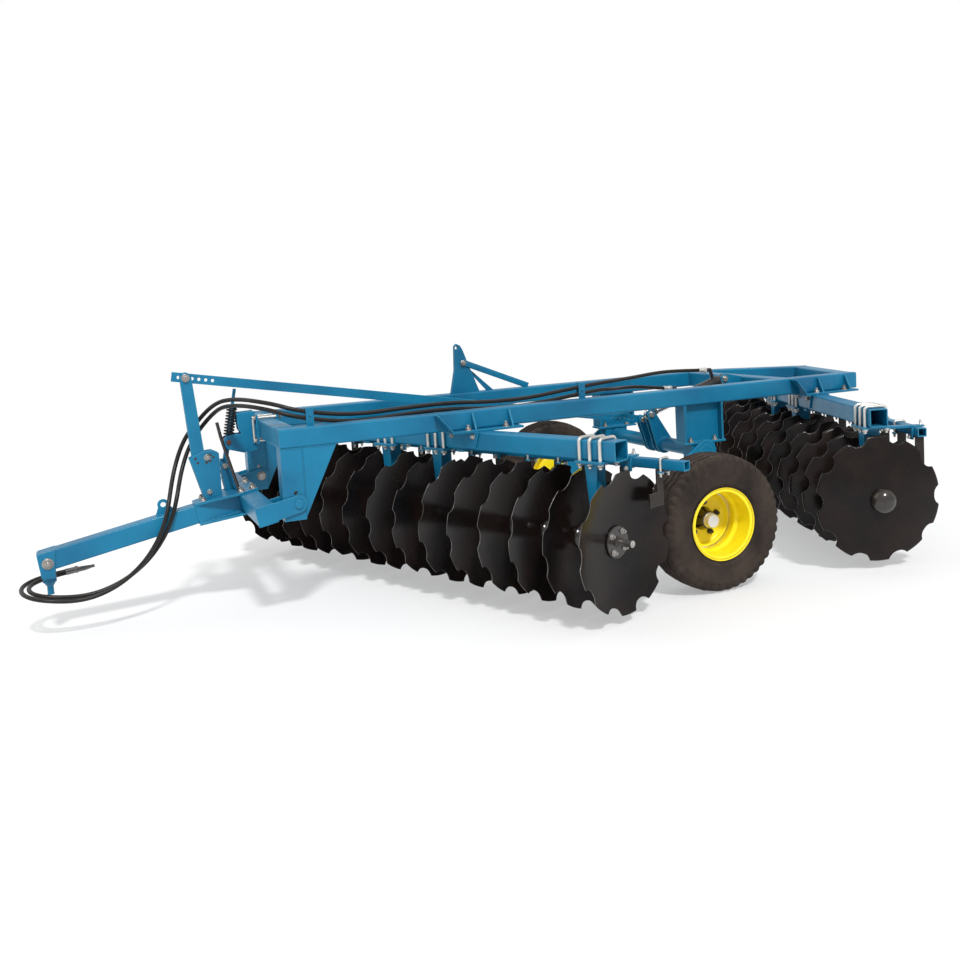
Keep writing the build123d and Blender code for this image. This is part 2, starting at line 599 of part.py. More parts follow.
# The tongue is open at the front, and below its front end, for the block of the hitch pin
SLOT_LONG = 128.0
half = TUBE / 2
tongue = box(-half, half, BAR_TIP, HEAD_FRONT, BAR_LOW, BAR_TOP)
tongue = fillet(tongue.edges().filter_by(Axis.Y), 8)
tongue -= box(-half + WALL, half - WALL, BAR_TIP - 1, HEAD_FRONT - WALL, BAR_LOW + WALL, BAR_TOP - WALL)
tongue -= box(-half + WALL, half - WALL, BAR_TIP - 1, BAR_TIP + SLOT_LONG, BAR_LOW - 1, BAR_LOW + WALL + 1)
lug = side_plate([(-660, BAR_TOP), (-555, BAR_TOP), (-580, BAR_TOP + 48), (-632, BAR_TOP + 48)], -6, 6)
lug += rod((-6, -606, BAR_TOP + 50), (6, -606, BAR_TOP + 50), 30)
lug -= rod((-10, -606, BAR_TOP + 50), (10, -606, BAR_TOP + 50), 14)
tongue += lug

BOLT_AT = (BAR_TIP + 40.0, -15.0)
CHEEK_T = 10.0
CHEEK_BOLT_R = 12.0
tongue -= rod((-TUBE, *BOLT_AT), (TUBE, *BOLT_AT), CHEEK_BOLT_R + RUN_FIT)
put("drawbar_tube", tilted(tongue))

cheeks = rod((-half - CHEEK_T - 11, *BOLT_AT), (half + CHEEK_T + 11, *BOLT_AT), CHEEK_BOLT_R)
for x0, x1 in ((-half - CHEEK_T, -half), (half, half + CHEEK_T)):
    cheeks += side_plate([(BAR_TIP + 6, BAR_TOP), (BAR_TIP, BAR_TOP - 8), (BAR_TIP - 8, BAR_LOW - 20),
                          (BAR_TIP + 4, BAR_LOW - 32), (BAR_TIP + 54, BAR_LOW - 43), (BAR_TIP + 92, BAR_TOP)],
                         x0, x1)
put("hitch_cheeks", tilted(cheeks))

hitch_y = HINGE_Y + BOLT_AT[0] * cos(radians(DRAWBAR_TILT)) - BOLT_AT[1] * sin(radians(DRAWBAR_TILT))
hitch_z = HINGE_Z + BOLT_AT[0] * sin(radians(DRAWBAR_TILT)) + BOLT_AT[1] * cos(radians(DRAWBAR_TILT))
HITCH_PIN_R = 16.0
HITCH_PIN_LOW = 170.0
HITCH_NECK_LOW = 236.0
hitch = rod((-half + WALL + 2, hitch_y, hitch_z), (half - WALL - 2, hitch_y, hitch_z), 37)
hitch += rod((0, hitch_y, HITCH_NECK_LOW), (0, hitch_y, hitch_z - 20), 34)
hitch -= rod((-60, hitch_y, hitch_z), (60, hitch_y, hitch_z), CHEEK_BOLT_R + RUN_FIT)
hitch += rod((0, hitch_y, HITCH_PIN_LOW), (0, hitch_y, HITCH_NECK_LOW + 4), HITCH_PIN_R)
put("hitch_pin", hitch)
print("hitch", round(hitch_y, 1), round(hitch_z, 1))


# Levelling post on the drawbar's top plate: quadrant plates and two upright straps
def to_level(y, z):
    t = radians(DRAWBAR_TILT)
    dy, dz = y - HINGE_Y, z - HINGE_Z
    return (dy * cos(t) + dz * sin(t), -dy * sin(t) + dz * cos(t))


post_pin = to_level(*POST_PIN)
post_foot = to_level(-338.0, 812.0)
PLATE_TOP = BAR_TOP + 12
FAN_T = 12.0
STRAP_IN = 10.0
STRAP_T = 12.0
STRAP_HALF = 30.0
POST_BOLTS = (to_level(-293.0, 803.0), to_level(-295.0, 611.0))
post = None
for x0, x1 in straddle(0, FAN_T, STRAP_IN + STRAP_T, 0, 0):
    fan = side_plate([(to_level(-328, 587)[0], PLATE_TOP), (to_level(-236, 612)[0], PLATE_TOP), to_level(-230, 821),
                      to_level(-266, 840), to_level(-314, 836), to_level(-387, 805)], x0, x1)
    post = fan if post is None else post + fan
for x0, x1 in straddle(0, STRAP_T, STRAP_IN, 0, 0):
    post += link_plate(post_pin, post_foot, STRAP_HALF, STRAP_HALF + 4, x0, x1)
reach = STRAP_IN + STRAP_T + FAN_T
for y, z in POST_BOLTS:
    post += rod((-reach - 10, y, z), (reach + 10, y, z), 12)
post += rod((-reach + 2, *post_pin), (reach - 2, *post_pin), 12)
put("levelling_post", tilted(post))

# Levelling bar from the post to the rockshaft's lever; its rear hole is open to its pin
BAR_H = 52.0
BAR_DRIFT = 11.8
bar_dy = BAR_LEVER[0] - POST_PIN[0]
bar_dz = BAR_LEVER[1] - POST_PIN[1]
bar_long = hypot(bar_dy, bar_dz)
bar_angle = degrees(atan2(bar_dz, bar_dy))
strap = box(-BAR_T / 2, BAR_T / 2, -72, bar_long + 30, -BAR_H / 2, BAR_H / 2)
strap -= rod((-20, 0, 0), (20, 0, 0), 12 + RUN_FIT)
strap -= rod((-20, bar_long, 0), (20, bar_long, 0), LEVER_PIN_R + BAR_DRIFT)
for step in (-1, 1, 2, 3, 4):
    strap -= rod((-20, 36 * step, 0), (20, 36 * step, 0), 9)
for step in range(1, 7):
    strap -= rod((-20, bar_long - 40 - 32 * step, 0), (20, bar_long - 40 - 32 * step, 0), 9)
put("levelling_bar", Pos(0, *POST_PIN) * Rot(bar_angle, 0, 0) * strap)

# Spring rod: bracket on the front cross tube, trunnion, spring, and the rod down to the drawbar
SPRING_X = -72.0
TRUNNION = (-165.0, 866.0)
CLEVIS = (-192.0, 734.0)
sp_dy = TRUNNION[0] - CLEVIS[0]
sp_dz = TRUNNION[1] - CLEVIS[1]
sp_long = hypot(sp_dy, sp_dz)
vy, vz = sp_dy / sp_long, sp_dz / sp_long


def on_spring(d):
    # d is counted from the clevis pin up the rod
    return (SPRING_X, CLEVIS[0] + vy * d, CLEVIS[1] + vz * d)


BRACKET_HALF = 70.0
PLATE_T = 12.0
bracket = box(SPRING_X - BRACKET_HALF, SPRING_X + BRACKET_HALF, -PLATE_T, 0, BEAM_LOW - 30, BEAM_TOP + 30)
for x0, x1 in straddle(SPRING_X, PLATE_T, 34, 0, 0):
    bracket += side_plate([(-PLATE_T, BEAM_TOP + 52), (-112, BEAM_TOP + 48), (-105, BEAM_LOW + 57),
                           (-92, BEAM_LOW + 33), (TRUNNION[0] + 10, TRUNNION[1] + 40),
                           (TRUNNION[0] - 24, TRUNNION[1] + 24), (TRUNNION[0] - 26, TRUNNION[1] - 24),
                           (TRUNNION[0], TRUNNION[1] - 42), (-88, TRUNNION[1] - 66),
                           (-PLATE_T, BEAM_LOW - 66)], x0, x1)
    bracket -= rod((x0 - 1, *TRUNNION), (x1 + 1, *TRUNNION), 13 + RUN_FIT)
bracket += box(SPRING_X - BRACKET_HALF, SPRING_X + BRACKET_HALF, TUBE, TUBE + PLATE_T, BEAM_LOW - 30, BEAM_TOP + 30)
for x in (SPRING_X - 58, SPRING_X + 58):
    for z in (BEAM_TOP + 12, BEAM_LOW - 12):
        bracket += rod((x, -PLATE_T - 16, z), (x, TUBE + PLATE_T + 16, z), 8)
put("spring_bracket", bracket)

trunnion = rod((SPRING_X - 54, *TRUNNION), (SPRING_X + 54, *TRUNNION), 13)
trunnion += box(SPRING_X - 29, SPRING_X + 29, TRUNNION[0] - 24, TRUNNION[0] + 24, TRUNNION[1] - 22, TRUNNION[1] + 22)
trunnion -= rod(on_spring(sp_long - 60), on_spring(sp_long + 60), 15 + RUN_FIT)
put("spring_trunnion", trunnion)

spring_rod = rod(on_spring(20), on_spring(sp_long + 200), 15) + rod(on_spring(sp_long + 198), on_spring(sp_long + 300), 9)
spring_rod += box(SPRING_X - 12, SPRING_X + 12, CLEVIS[0] - 24, CLEVIS[0] + 24, CLEVIS[1] - 24, CLEVIS[1] + 40)
spring_rod -= rod((SPRING_X - 20, *CLEVIS), (SPRING_X + 20, *CLEVIS), 12 + 4)
spring_rod += rod(on_spring(sp_long + 196), on_spring(sp_long + 208), 34)
put("spring_rod", spring_rod)

coil = ring(on_spring(sp_long + 34), on_spring(sp_long + 196), 30, 19)
put("spring", coil)

clevis = None
level = to_level(*CLEVIS)
for x0, x1 in straddle(SPRING_X, 12, 18, 0, 0):
    plate = side_plate([(level[0] - 36, PLATE_TOP), (level[0] + 36, PLATE_TOP), (level[0] + 26, level[1] + 24),
                        (level[0] - 26, level[1] + 24)], x0, x1)
    clevis = plate if clevis is None else clevis + plate
clevis += rod((SPRING_X - 38, *level), (SPRING_X + 38, *level), 12)
put("spring_clevis", tilted(clevis))

# Hose carrier: a bent rod that stands on the drawbar's top plate and ends under the hoses
CARRIER_R = 9.0
carrier_line = [(82.0, -140.0, 588.0), (42.0, -214.0, 903.0), (32.0, -228.0, 990.0)]
spots = [(x, *to_level(y, z)) for x, y, z in carrier_line]
carrier_rod = rod(spots[0], spots[1], CARRIER_R) + Pos(*spots[1]) * Sphere(CARRIER_R)
carrier_rod += rod(spots[1], spots[2], CARRIER_R)
carrier_rod -= box(0, 150, -400, 0, PLATE_TOP - 40, PLATE_TOP)
put("hose_carrier", tilted(carrier_rod))

# Parking mast on the right longitudinal tube
MAST_T = 8.0
mast = None
for x0, x1 in straddle(-BEAM_X, MAST_T, 5, 0, 0):
    plate = side_plate([(1350, BEAM_TOP), (1551, BEAM_TOP), (1478, 1172), (1446, 1262), (1430, 1290), (1405, 1303),
                        (1390, 1288), (1383, 1130)], x0, x1)
    plate -= rod((x0 - 1, 1404, 1276), (x1 + 1, 1404, 1276), 11)
    mast = plate if mast is None else mast + plate
mast += rod((-BEAM_X - 30, 1442, 1174), (-BEAM_X + 30, 1442, 1174), 9)
for x0, x1, end in ((-BEAM_X + 13, -BEAM_X + 21, 1928), (-BEAM_X - 21, -BEAM_X - 13, 1660)):
    mast += side_plate([(1424, 1190), (1460, 1164), (end, BEAM_TOP), (end - 50, BEAM_TOP)], x0, x1)
put("mast", mast)

# Hose clips on the left tube's inner side: two plates and a bolt that passes between the hoses
CLIP_X = BEAM_X - TUBE / 2 - 19.0
CLIP_FIT = 0.3
CLIP_T = 6.5
CLIPS = ((187.0, 1044.0, 1009.0), (1795.0, 1044.0, 1005.0))
clips = []
for y, upper, lower in CLIPS:
    front = box(CLIP_X + HOSE_R + CLIP_FIT, BEAM_X - TUBE / 2, y - 20, y + 20, BEAM_TOP - 40, upper + 22)
    back = box(CLIP_X - HOSE_R - CLIP_FIT - CLIP_T, CLIP_X - HOSE_R - CLIP_FIT, y - 20, y + 20, lower - HOSE_R, upper + 22)
    mid = (upper + lower) / 2
    clips.append(front + back + rod((CLIP_X - HOSE_R - CLIP_T - 6, y, mid), (BEAM_X - TUBE / 2 + 8, y, mid), 4.5))
put("hose_clips", clips)

# The two hoses, from the cylinder's ports through the clips to their couplings at the hitch.
# Each route is a list of corners, and the tube has arcs at them as large as its runs allow.
UPPER_ROUTE = [
    (120, 2904, 1038), (127, 2722, 1050), (170, 2520, 1056), (262, 2290, 1048), (390, 2086, 1051),
    (476, 1925, 1052), (476, 1690, 1036), (484, 1450, 1018), (490, 1210, 1032), (491, 960, 1060),
    (484, 700, 1042), (477, 470, 1012), (476, 290, 1022), (476, 112, 1060), (440, 24, 1094),
    (362, -66, 1115), (265, -118, 1122), (160, -167, 1119), (60, -212, 1104), (-36, -258, 1062),
    (-70, -320, 994), (-70, -382, 924), (-66, -424, 848), (-42, -461, 756), (12, -489, 676),
    (72, -512, 600), (106, -537, 512), (116, -592, 388), (122, -688, 268), (126, -826, 176),
    (134, -985, 138), (142, -1172, 172), (46, -1268, 196), (-80, -1268, 216), (-182, -1170, 228),
    (-184, -1056, 238)]
LOWER_ROUTE = [
    (120, 2629, 939), (124, 2496, 957), (160, 2350, 976), (244, 2196, 987), (378, 2064, 998),
    (476, 1925, 1014), (476, 1690, 997), (480, 1450, 984), (486, 1210, 1000), (487, 960, 1026),
    (481, 700, 1008), (476, 470, 978), (476, 290, 988), (476, 112, 1024), (446, 22, 1058),
    (372, -64, 1082), (275, -117, 1089), (170, -165, 1086), (70, -207, 1072), (-22, -246, 1028),
    (-66, -298, 966), (-72, -346, 902), (-67, -387, 832), (-40, -421, 752), (10, -447, 682),
    (66, -470, 612), (82, -500, 516), (87, -556, 398), (89, -655, 280), (92, -795, 190),
    (98, -962, 150), (108, -1154, 180), (32, -1232, 200), (-74, -1232, 214), (-152, -1154, 224),
    (-148, -1050, 238)]


def hose(name, route):
    corners = [Vector(*p) for p in route]
    radii = []
    for before, at, after in zip(corners, corners[1:], corners[2:]):
        turn = radians((at - before).get_angle(after - at))
        radii.append(0.45 * min((at - before).length, (after - at).length) / tan(turn / 2))
    path = FilletPolyline(*corners, radius=radii)
    print(name, "radii", [round(r) for r in radii], "length", round(path.length))
    section = Plane(origin=corners[0], z_dir=corners[1] - corners[0]) * Circle(HOSE_R)
    tube = sweep(section, path=path)
    print(name, "volume over section times length", round(tube.volume / (pi * HOSE_R ** 2 * path.length), 4))
    return tube


def coupling(route, steps):
    # turned steps of (length, radius) in line with the hose's last run
    end = Vector(*route[-1])
    along = (end - Vector(*route[-2])).normalized()
    solid = None
    for long, r in steps:
        piece = rod(tuple(end), tuple(end + along * long), r)
        solid = piece if solid is None else solid + piece
        end += along * long
    return solid


put("upper_hose", hose("upper hose", UPPER_ROUTE))
put("lower_hose", hose("lower hose", LOWER_ROUTE))
put("hose_couplings", [coupling(UPPER_ROUTE, ((56, 14), (10, 17), (26, 10))),
                       coupling(LOWER_ROUTE, ((60, 14), (8, 17), (112, 13), (34, 9)))])
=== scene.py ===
import bmesh
import bpy
from bmesh import ops
from math import atan2, cos, degrees, hypot, pi, radians, sin, sqrt, tan
from mathutils import Matrix, Vector
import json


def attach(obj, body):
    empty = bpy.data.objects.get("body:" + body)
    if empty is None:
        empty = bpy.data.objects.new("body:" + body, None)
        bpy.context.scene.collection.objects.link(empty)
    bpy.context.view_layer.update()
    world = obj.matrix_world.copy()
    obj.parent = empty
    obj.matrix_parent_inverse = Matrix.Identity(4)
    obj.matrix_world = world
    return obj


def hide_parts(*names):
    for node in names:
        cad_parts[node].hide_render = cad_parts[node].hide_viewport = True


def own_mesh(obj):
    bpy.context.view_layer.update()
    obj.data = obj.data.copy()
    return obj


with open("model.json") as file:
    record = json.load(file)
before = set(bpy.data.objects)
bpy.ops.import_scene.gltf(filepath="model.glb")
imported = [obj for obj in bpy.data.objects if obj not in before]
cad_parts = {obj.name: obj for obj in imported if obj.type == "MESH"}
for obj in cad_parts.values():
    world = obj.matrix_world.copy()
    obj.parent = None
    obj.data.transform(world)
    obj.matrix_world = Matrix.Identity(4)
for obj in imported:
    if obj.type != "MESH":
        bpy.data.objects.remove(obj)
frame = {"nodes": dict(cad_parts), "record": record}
shifted = Matrix.Translation
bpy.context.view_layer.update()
print("frame loaded")

# camera, set to the place that the photograph was taken from
cameraPlace = {"position": (5.755, -2.5937, 1.617), "azimuth": 65.85, "elevation": 5.34, "roll": -3.13}
cameraLens = {"lens": 38.58, "sensor_width": 36, "shift_x": -0.0523, "shift_y": -0.0873, "clip_end": 100}


def newObject(name, data):
    made = bpy.data.objects.new(name, data)
    bpy.context.scene.collection.objects.link(made)
    return made


def setAll(thing, values):
    for key, value in values.items():
        setattr(thing, key, value)


def makeCamera(place):
    data = bpy.data.cameras.new("camera")
    setAll(data, cameraLens)
    camera = newObject("camera", data)
    az, el, roll = (radians(place[k]) for k in ("azimuth", "elevation", "roll"))
    forward = Vector((-sin(az) * cos(el), cos(az) * cos(el), -sin(el)))
    level = Vector((cos(az), sin(az), 0))
    above = level.cross(forward)
    right = level * cos(roll) + above * sin(roll)
    up = above * cos(roll) - level * sin(roll)
    turn = Matrix((right, up, -forward)).transposed().to_4x4()
    camera.matrix_world = shifted(place["position"]) @ turn
    bpy.context.scene.camera = camera


makeCamera(cameraPlace)

# Sizes below are in millimetres. Heights are counted from the lower edges of the discs, lengths from
# the front face of the frame, and widths from its middle. toScene takes them to the frame's metres.
mm = 0.001
machineMiddle = {"x": 118, "y": 1641.2}
discClearance = 51
toScene = (Matrix.Scale(mm, 4)
           @ shifted((-machineMiddle["x"], -machineMiddle["y"], discClearance)))
frontGang = {"x": 160, "y": 902, "turn": 22.2, "bowl": -1}
rearGang = {"x": 84, "y": 3621, "turn": -20, "bowl": 1}
gangs = (("front", frontGang), ("rear", rearGang))
drawbarHinge = {"y": 73, "z": 588, "slope": 10.8}
drawbarPlace = (shifted((0, drawbarHinge["y"], drawbarHinge["z"]))
                @ Matrix.Rotation(radians(drawbarHinge["slope"]), 4, "X"))
# the tubes: the frame's own, the gang beams and the drawbar's pin
tube = {"side": 546, "wide": 102, "low": 875}
beam = {"top": 863, "low": 761, "half": 51, "padLow": 749}
hitchSpot = (-1227, -15)


def gangPlace(gang):
    return shifted((gang["x"], gang["y"], 0)) @ Matrix.Rotation(radians(gang["turn"]), 4, "Z")


def gangY(gang, x):
    return gang["y"] + (x - gang["x"]) * tan(radians(gang["turn"]))


# materials
def nodeIn(tree, kind, **values):
    node = tree.nodes.new("ShaderNode" + kind)
    setAll(node, values)
    return node


def setInputs(node, values):
    for key, value in values.items():
        node.inputs[key].default_value = value


def newMaterial(name):
    material = bpy.data.materials.new(name)
    material.use_nodes = True
    return material, material.node_tree, material.node_tree.nodes["Principled BSDF"]


def noiseOn(tree, place, scale, detail=4, rough=0.55):
    noise = nodeIn(tree, "TexNoise")
    setInputs(noise, {"Scale": scale, "Detail": detail, "Roughness": rough})
    tree.links.new(place.outputs["Object"], noise.inputs["Vector"])
    return noise.outputs["Fac"]


def between(tree, value, low, high, outLow=0, outHigh=1):
    ramp = nodeIn(tree, "MapRange")
    setInputs(ramp, {"From Min": low, "From Max": high, "To Min": outLow, "To Max": outHigh})
    tree.links.new(value, ramp.inputs["Value"])
    return ramp.outputs["Result"]


def mixed(tree, factor, first, second):
    mix = nodeIn(tree, "Mix", data_type="RGBA")
    for socket, value in ((mix.inputs[0], factor), (mix.inputs[6], first), (mix.inputs[7], second)):
        if isinstance(value, tuple):
            socket.default_value = (*value, 1)
        else:
            tree.links.new(value, socket)
    return mix.outputs[2]


def combined(tree, first, second, operation="MULTIPLY"):
    node = nodeIn(tree, "Math", operation=operation)
    for socket, value in zip(node.inputs, (first, second)):
        if isinstance(value, (int, float)):
            socket.default_value = value
        else:
            tree.links.new(value, socket)
    return node.outputs[0]


# where a finish turns from one state to the next: ranges of noise, of the normal and of the edge mask; the
# edge mask lays both edge wear and painted highlight
wearAndHighlight = {
    "mottle": (0.35, 0.68), "mottleDetail": 5, "grainDetail": 3, "middleScale": 9, "middle": (6, 0.65),
    "edge": (0.985, 0.8), "edgeSamples": 6, "edgeNoise": (0.25, 0.6, 0.35, 1),
    "upward": (0.25, 0.95), "dust": (0.38, 0.7), "dustShare": 0.75,
    "grime": (0.55, 0.75), "grimeShare": 0.35,
    "speckleScale": 260, "speckleDetail": 2, "speckle": (0.66, 0.74),
    "gloss": (0.2, 0.8), "glossy": 0.8, "dull": 1.25, "dirtDulls": 0.5,
    "bumpStrength": 0.5, "coatRough": 0.12,
}


def edgeMask(tree, radius):
    # one where the bevelled normal leaves the surface's own, along edges
    bevel = nodeIn(tree, "Bevel", samples=wearAndHighlight["edgeSamples"])
    bevel.inputs["Radius"].default_value = radius
    surface = nodeIn(tree, "NewGeometry")
    dot = nodeIn(tree, "VectorMath", operation="DOT_PRODUCT")
    tree.links.new(bevel.outputs["Normal"], dot.inputs[0])
    tree.links.new(surface.outputs["Normal"], dot.inputs[1])
    return between(tree, dot.outputs["Value"], *wearAndHighlight["edge"]), bevel.outputs["Normal"], surface


soil = (0.22, 0.16, 0.11)


def finish(name, base, dark, edge, rough, dust=soil, metallic=0, coat=0, patch=2.5, grain=90,
           bump=0.0006, edgeWearAndHighlight=0.5, dustAmount=0.35, edgeWidth=0.005, speckle=0, gleam=0.25):
    # base and dark mottle the surface; edge lies along its edges, as bare wear on metals and as a painted
    # highlight where it is a lighter tint of the paint; dust on what faces up
    material, tree, shader = newMaterial(name)
    setInputs(shader, {"Metallic": metallic, "Coat Weight": coat, "Specular IOR Level": gleam,
                       "Coat Roughness": wearAndHighlight["coatRough"]})
    place = nodeIn(tree, "TexCoord")
    large = noiseOn(tree, place, patch, wearAndHighlight["mottleDetail"])
    fine = noiseOn(tree, place, grain, wearAndHighlight["grainDetail"])
    middle = noiseOn(tree, place, patch * wearAndHighlight["middleScale"], *wearAndHighlight["middle"])
    colour = mixed(tree, between(tree, large, *wearAndHighlight["mottle"]), base, dark)
    mask, softNormal, surface = edgeMask(tree, edgeWidth)
    # the edge colour along the edges: painted highlight where it is a lighter tint of the paint, rubbed wear
    # on bare metals
    wornAndHighlighted = combined(tree, mask, between(tree, middle, *wearAndHighlight["edgeNoise"]))
    colour = mixed(tree, combined(tree, wornAndHighlighted, edgeWearAndHighlight), colour, edge)
    split = nodeIn(tree, "SeparateXYZ")
    tree.links.new(surface.outputs["Normal"], split.inputs[0])
    upward = combined(tree, between(tree, split.outputs["Z"], *wearAndHighlight["upward"]), wearAndHighlight["dustShare"])
    dusty = combined(tree, between(tree, middle, *wearAndHighlight["dust"]), upward)
    grimy = combined(tree, between(tree, middle, *wearAndHighlight["grime"]), wearAndHighlight["grimeShare"])
    dirt = combined(tree, combined(tree, dusty, grimy, "MAXIMUM"), dustAmount)
    colour = mixed(tree, dirt, colour, dust)
    if speckle > 0:
        spots = noiseOn(tree, place, wearAndHighlight["speckleScale"], wearAndHighlight["speckleDetail"])
        colour = mixed(tree, combined(tree, between(tree, spots, *wearAndHighlight["speckle"]), speckle), colour, dust)
    tree.links.new(colour, shader.inputs["Base Color"])
    gloss = between(tree, middle, *wearAndHighlight["gloss"], rough * wearAndHighlight["glossy"], rough * wearAndHighlight["dull"])
    gloss = combined(tree, gloss, combined(tree, dirt, wearAndHighlight["dirtDulls"]), "ADD")
    tree.links.new(gloss, shader.inputs["Roughness"])
    height = nodeIn(tree, "Bump")
    setInputs(height, {"Strength": wearAndHighlight["bumpStrength"], "Distance": bump})
    tree.links.new(fine, height.inputs["Height"])
    tree.links.new(softNormal, height.inputs["Normal"])
    tree.links.new(height.outputs["Normal"], shader.inputs["Normal"])
    return material


smallMetal = {"edgeWidth": 0.002, "gleam": 0.5}
finishes = {
    # the blue's edge colour is a lighter blue: painted highlight along the frame's edges
    "frame_blue": finish(
        "framePaint", (0.004, 0.18, 0.33), (0.003, 0.118, 0.24), (0.07, 0.4, 0.56), 0.36, coat=0.06,
        edgeWearAndHighlight=0.75, dustAmount=0.12, gleam=0.28),
    "disc_black": finish(
        "discPaint", (0.005, 0.0042, 0.0042), (0.015, 0.0085, 0.0072), (0.45, 0.44, 0.42), 0.2,
        patch=4, edgeWearAndHighlight=0, dustAmount=0.07, speckle=0.04, gleam=0.2),
    "disc_edge": finish(
        "groundEdge", (0.42, 0.41, 0.4), (0.05, 0.045, 0.042), (0.7, 0.7, 0.7), 0.34, metallic=0.8,
        patch=7, edgeWearAndHighlight=0.2, dustAmount=0.25),
    "shaft_black": finish(
        "shaftPaint", (0.01, 0.009, 0.009), (0.024, 0.018, 0.015), (0.15, 0.14, 0.13), 0.2, coat=0.4,
        edgeWearAndHighlight=0.4, dustAmount=0.12, gleam=0.5),
    "scraper_black": finish(
        "scraperPaint", (0.012, 0.011, 0.011), (0.026, 0.021, 0.018), (0.24, 0.23, 0.22), 0.36,
        dustAmount=0.3),
    "rim_yellow": finish(
        "rimPaint", (0.97, 0.79, 0.012), (0.86, 0.62, 0.01), (0.98, 0.85, 0.12), 0.34, coat=0.1,
        dustAmount=0.18),
    "tyre_rubber": finish(
        "tyreRubber", (0.016, 0.012, 0.011), (0.048, 0.035, 0.028), (0.085, 0.068, 0.056), 0.78,
        dust=(0.15, 0.11, 0.085), patch=5, grain=240, bump=0.0012, edgeWearAndHighlight=0.45, dustAmount=0.55,
        edgeWidth=0.003, speckle=0.18, gleam=0.18),
    "cylinder_black": finish(
        "cylinderPaint", (0.01, 0.01, 0.012), (0.02, 0.018, 0.017), (0.12, 0.12, 0.12), 0.26, coat=0.2,
        edgeWearAndHighlight=0.4, dustAmount=0.25, gleam=0.35),
    "rod_chrome": finish(
        "rodChrome", (0.72, 0.72, 0.72), (0.62, 0.62, 0.62), (0.8, 0.8, 0.8), 0.1, metallic=1,
        grain=300, bump=0.0001, edgeWearAndHighlight=0.2, dustAmount=0.1, gleam=0.5),
    "trunnion_brown": finish(
        "trunnionPaint", (0.15, 0.042, 0.024), (0.08, 0.026, 0.017), (0.28, 0.14, 0.1), 0.5,
        edgeWearAndHighlight=0.6, dustAmount=0.25),
    "spring_black": finish(
        "springPaint", (0.01, 0.01, 0.011), (0.02, 0.018, 0.017), (0.12, 0.12, 0.12), 0.32, coat=0.1,
        dustAmount=0.2),
    "zinc": finish(
        "zincPlate", (0.74, 0.73, 0.69), (0.58, 0.57, 0.53), (0.88, 0.88, 0.86), 0.34, metallic=0.7,
        patch=9, dustAmount=0.2, **smallMetal),
    "nut": finish(
        "nutSteel", (0.42, 0.41, 0.38), (0.24, 0.22, 0.2), (0.8, 0.8, 0.78), 0.36, metallic=0.75,
        patch=14, edgeWearAndHighlight=0.6, dustAmount=0.3, **smallMetal),
    "steel": finish(
        "groundSteel", (0.5, 0.49, 0.47), (0.22, 0.19, 0.17), (0.75, 0.75, 0.75), 0.3,
        dust=(0.16, 0.08, 0.05), metallic=0.9, patch=12, edgeWearAndHighlight=0.3, dustAmount=0.6, **smallMetal),
    "coupling": finish(
        "couplingSteel", (0.2, 0.195, 0.19), (0.1, 0.09, 0.085), (0.5, 0.5, 0.48), 0.34, metallic=0.75,
        patch=12, edgeWearAndHighlight=0.6, dustAmount=0.2, **smallMetal),
    "hose_rubber": finish(
        "hoseRubber", (0.009, 0.009, 0.01), (0.018, 0.016, 0.015), (0.05, 0.05, 0.05), 0.36, patch=6,
        grain=420, bump=0.0005, edgeWearAndHighlight=0, dustAmount=0.2),
}
# bare metals that the record has no slot of their own for are its zinc
slotOf = {entry["node"]: entry["material_slot"] for entry in frame["record"]["subparts"]}
for name, node in frame["nodes"].items():
    node.data.materials.clear()
    node.data.materials.append(finishes[slotOf[name]])
print("materials set")

# small tools for the pieces
mergeGap = 0.00002
plateBevel = {"affect": "EDGES", "profile": 0.5, "material": -1}


def meshFrom(bm, name):
    mesh = bpy.data.meshes.new(name)
    bm.to_mesh(mesh)
    bm.free()
    return mesh


def edgesOf(verts):
    return list(dict.fromkeys(e for v in verts for e in v.link_edges))


def newVerts(made):
    return [v for v in made if isinstance(v, bmesh.types.BMVert)]


def newEdges(made):
    return [e for e in made if isinstance(e, bmesh.types.BMEdge)]


def finishPiece(bm, name, body, slot, place=None, second=None, sharp=34, node=None):
    if place is not None:
        bm.transform(place)
    bm.transform(toScene)
    ops.remove_doubles(bm, verts=bm.verts[:], dist=mergeGap)
    ops.recalc_face_normals(bm, faces=bm.faces[:])
    for face in bm.faces:
        face.smooth = True
    for edge in bm.edges:
        if len(edge.link_faces) == 2 and edge.calc_face_angle(0) > radians(sharp):
            edge.smooth = False
    piece = newObject(name, meshFrom(bm, name))
    piece.data.materials.append(finishes[slot])
    if second:
        piece.data.materials.append(finishes[second])
    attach(piece, body)
    if node:
        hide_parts(node)
    return piece


def turnTo(direction):
    return Vector(direction).to_track_quat("Z", "Y").to_matrix().to_4x4()


def addRod(bm, a, b, radius, sides=24, endRadius=None):
    a, b = Vector(a), Vector(b)
    place = shifted((a + b) / 2) @ turnTo(b - a)
    end = radius if endRadius is None else endRadius
    ops.create_cone(bm, cap_ends=True, segments=sides, radius1=radius, radius2=end,
                          depth=(b - a).length, matrix=place)


def addStep(bm, spot, along, start, end, radius, sides=24, endRadius=None):
    # a rod between two distances from a spot
    addRod(bm, spot + along * start, spot + along * end, radius, sides, endRadius)


def addBox(bm, place, size):
    return ops.create_cube(bm, size=1, matrix=place @ Matrix.Diagonal((*size, 1)))


def addPlate(bm, low, high, edge):
    low, high = Vector(low), Vector(high)
    made = addBox(bm, shifted((low + high) / 2), high - low)
    ops.bevel(bm, geom=edgesOf(made["verts"]), offset=edge, segments=2, **plateBevel)


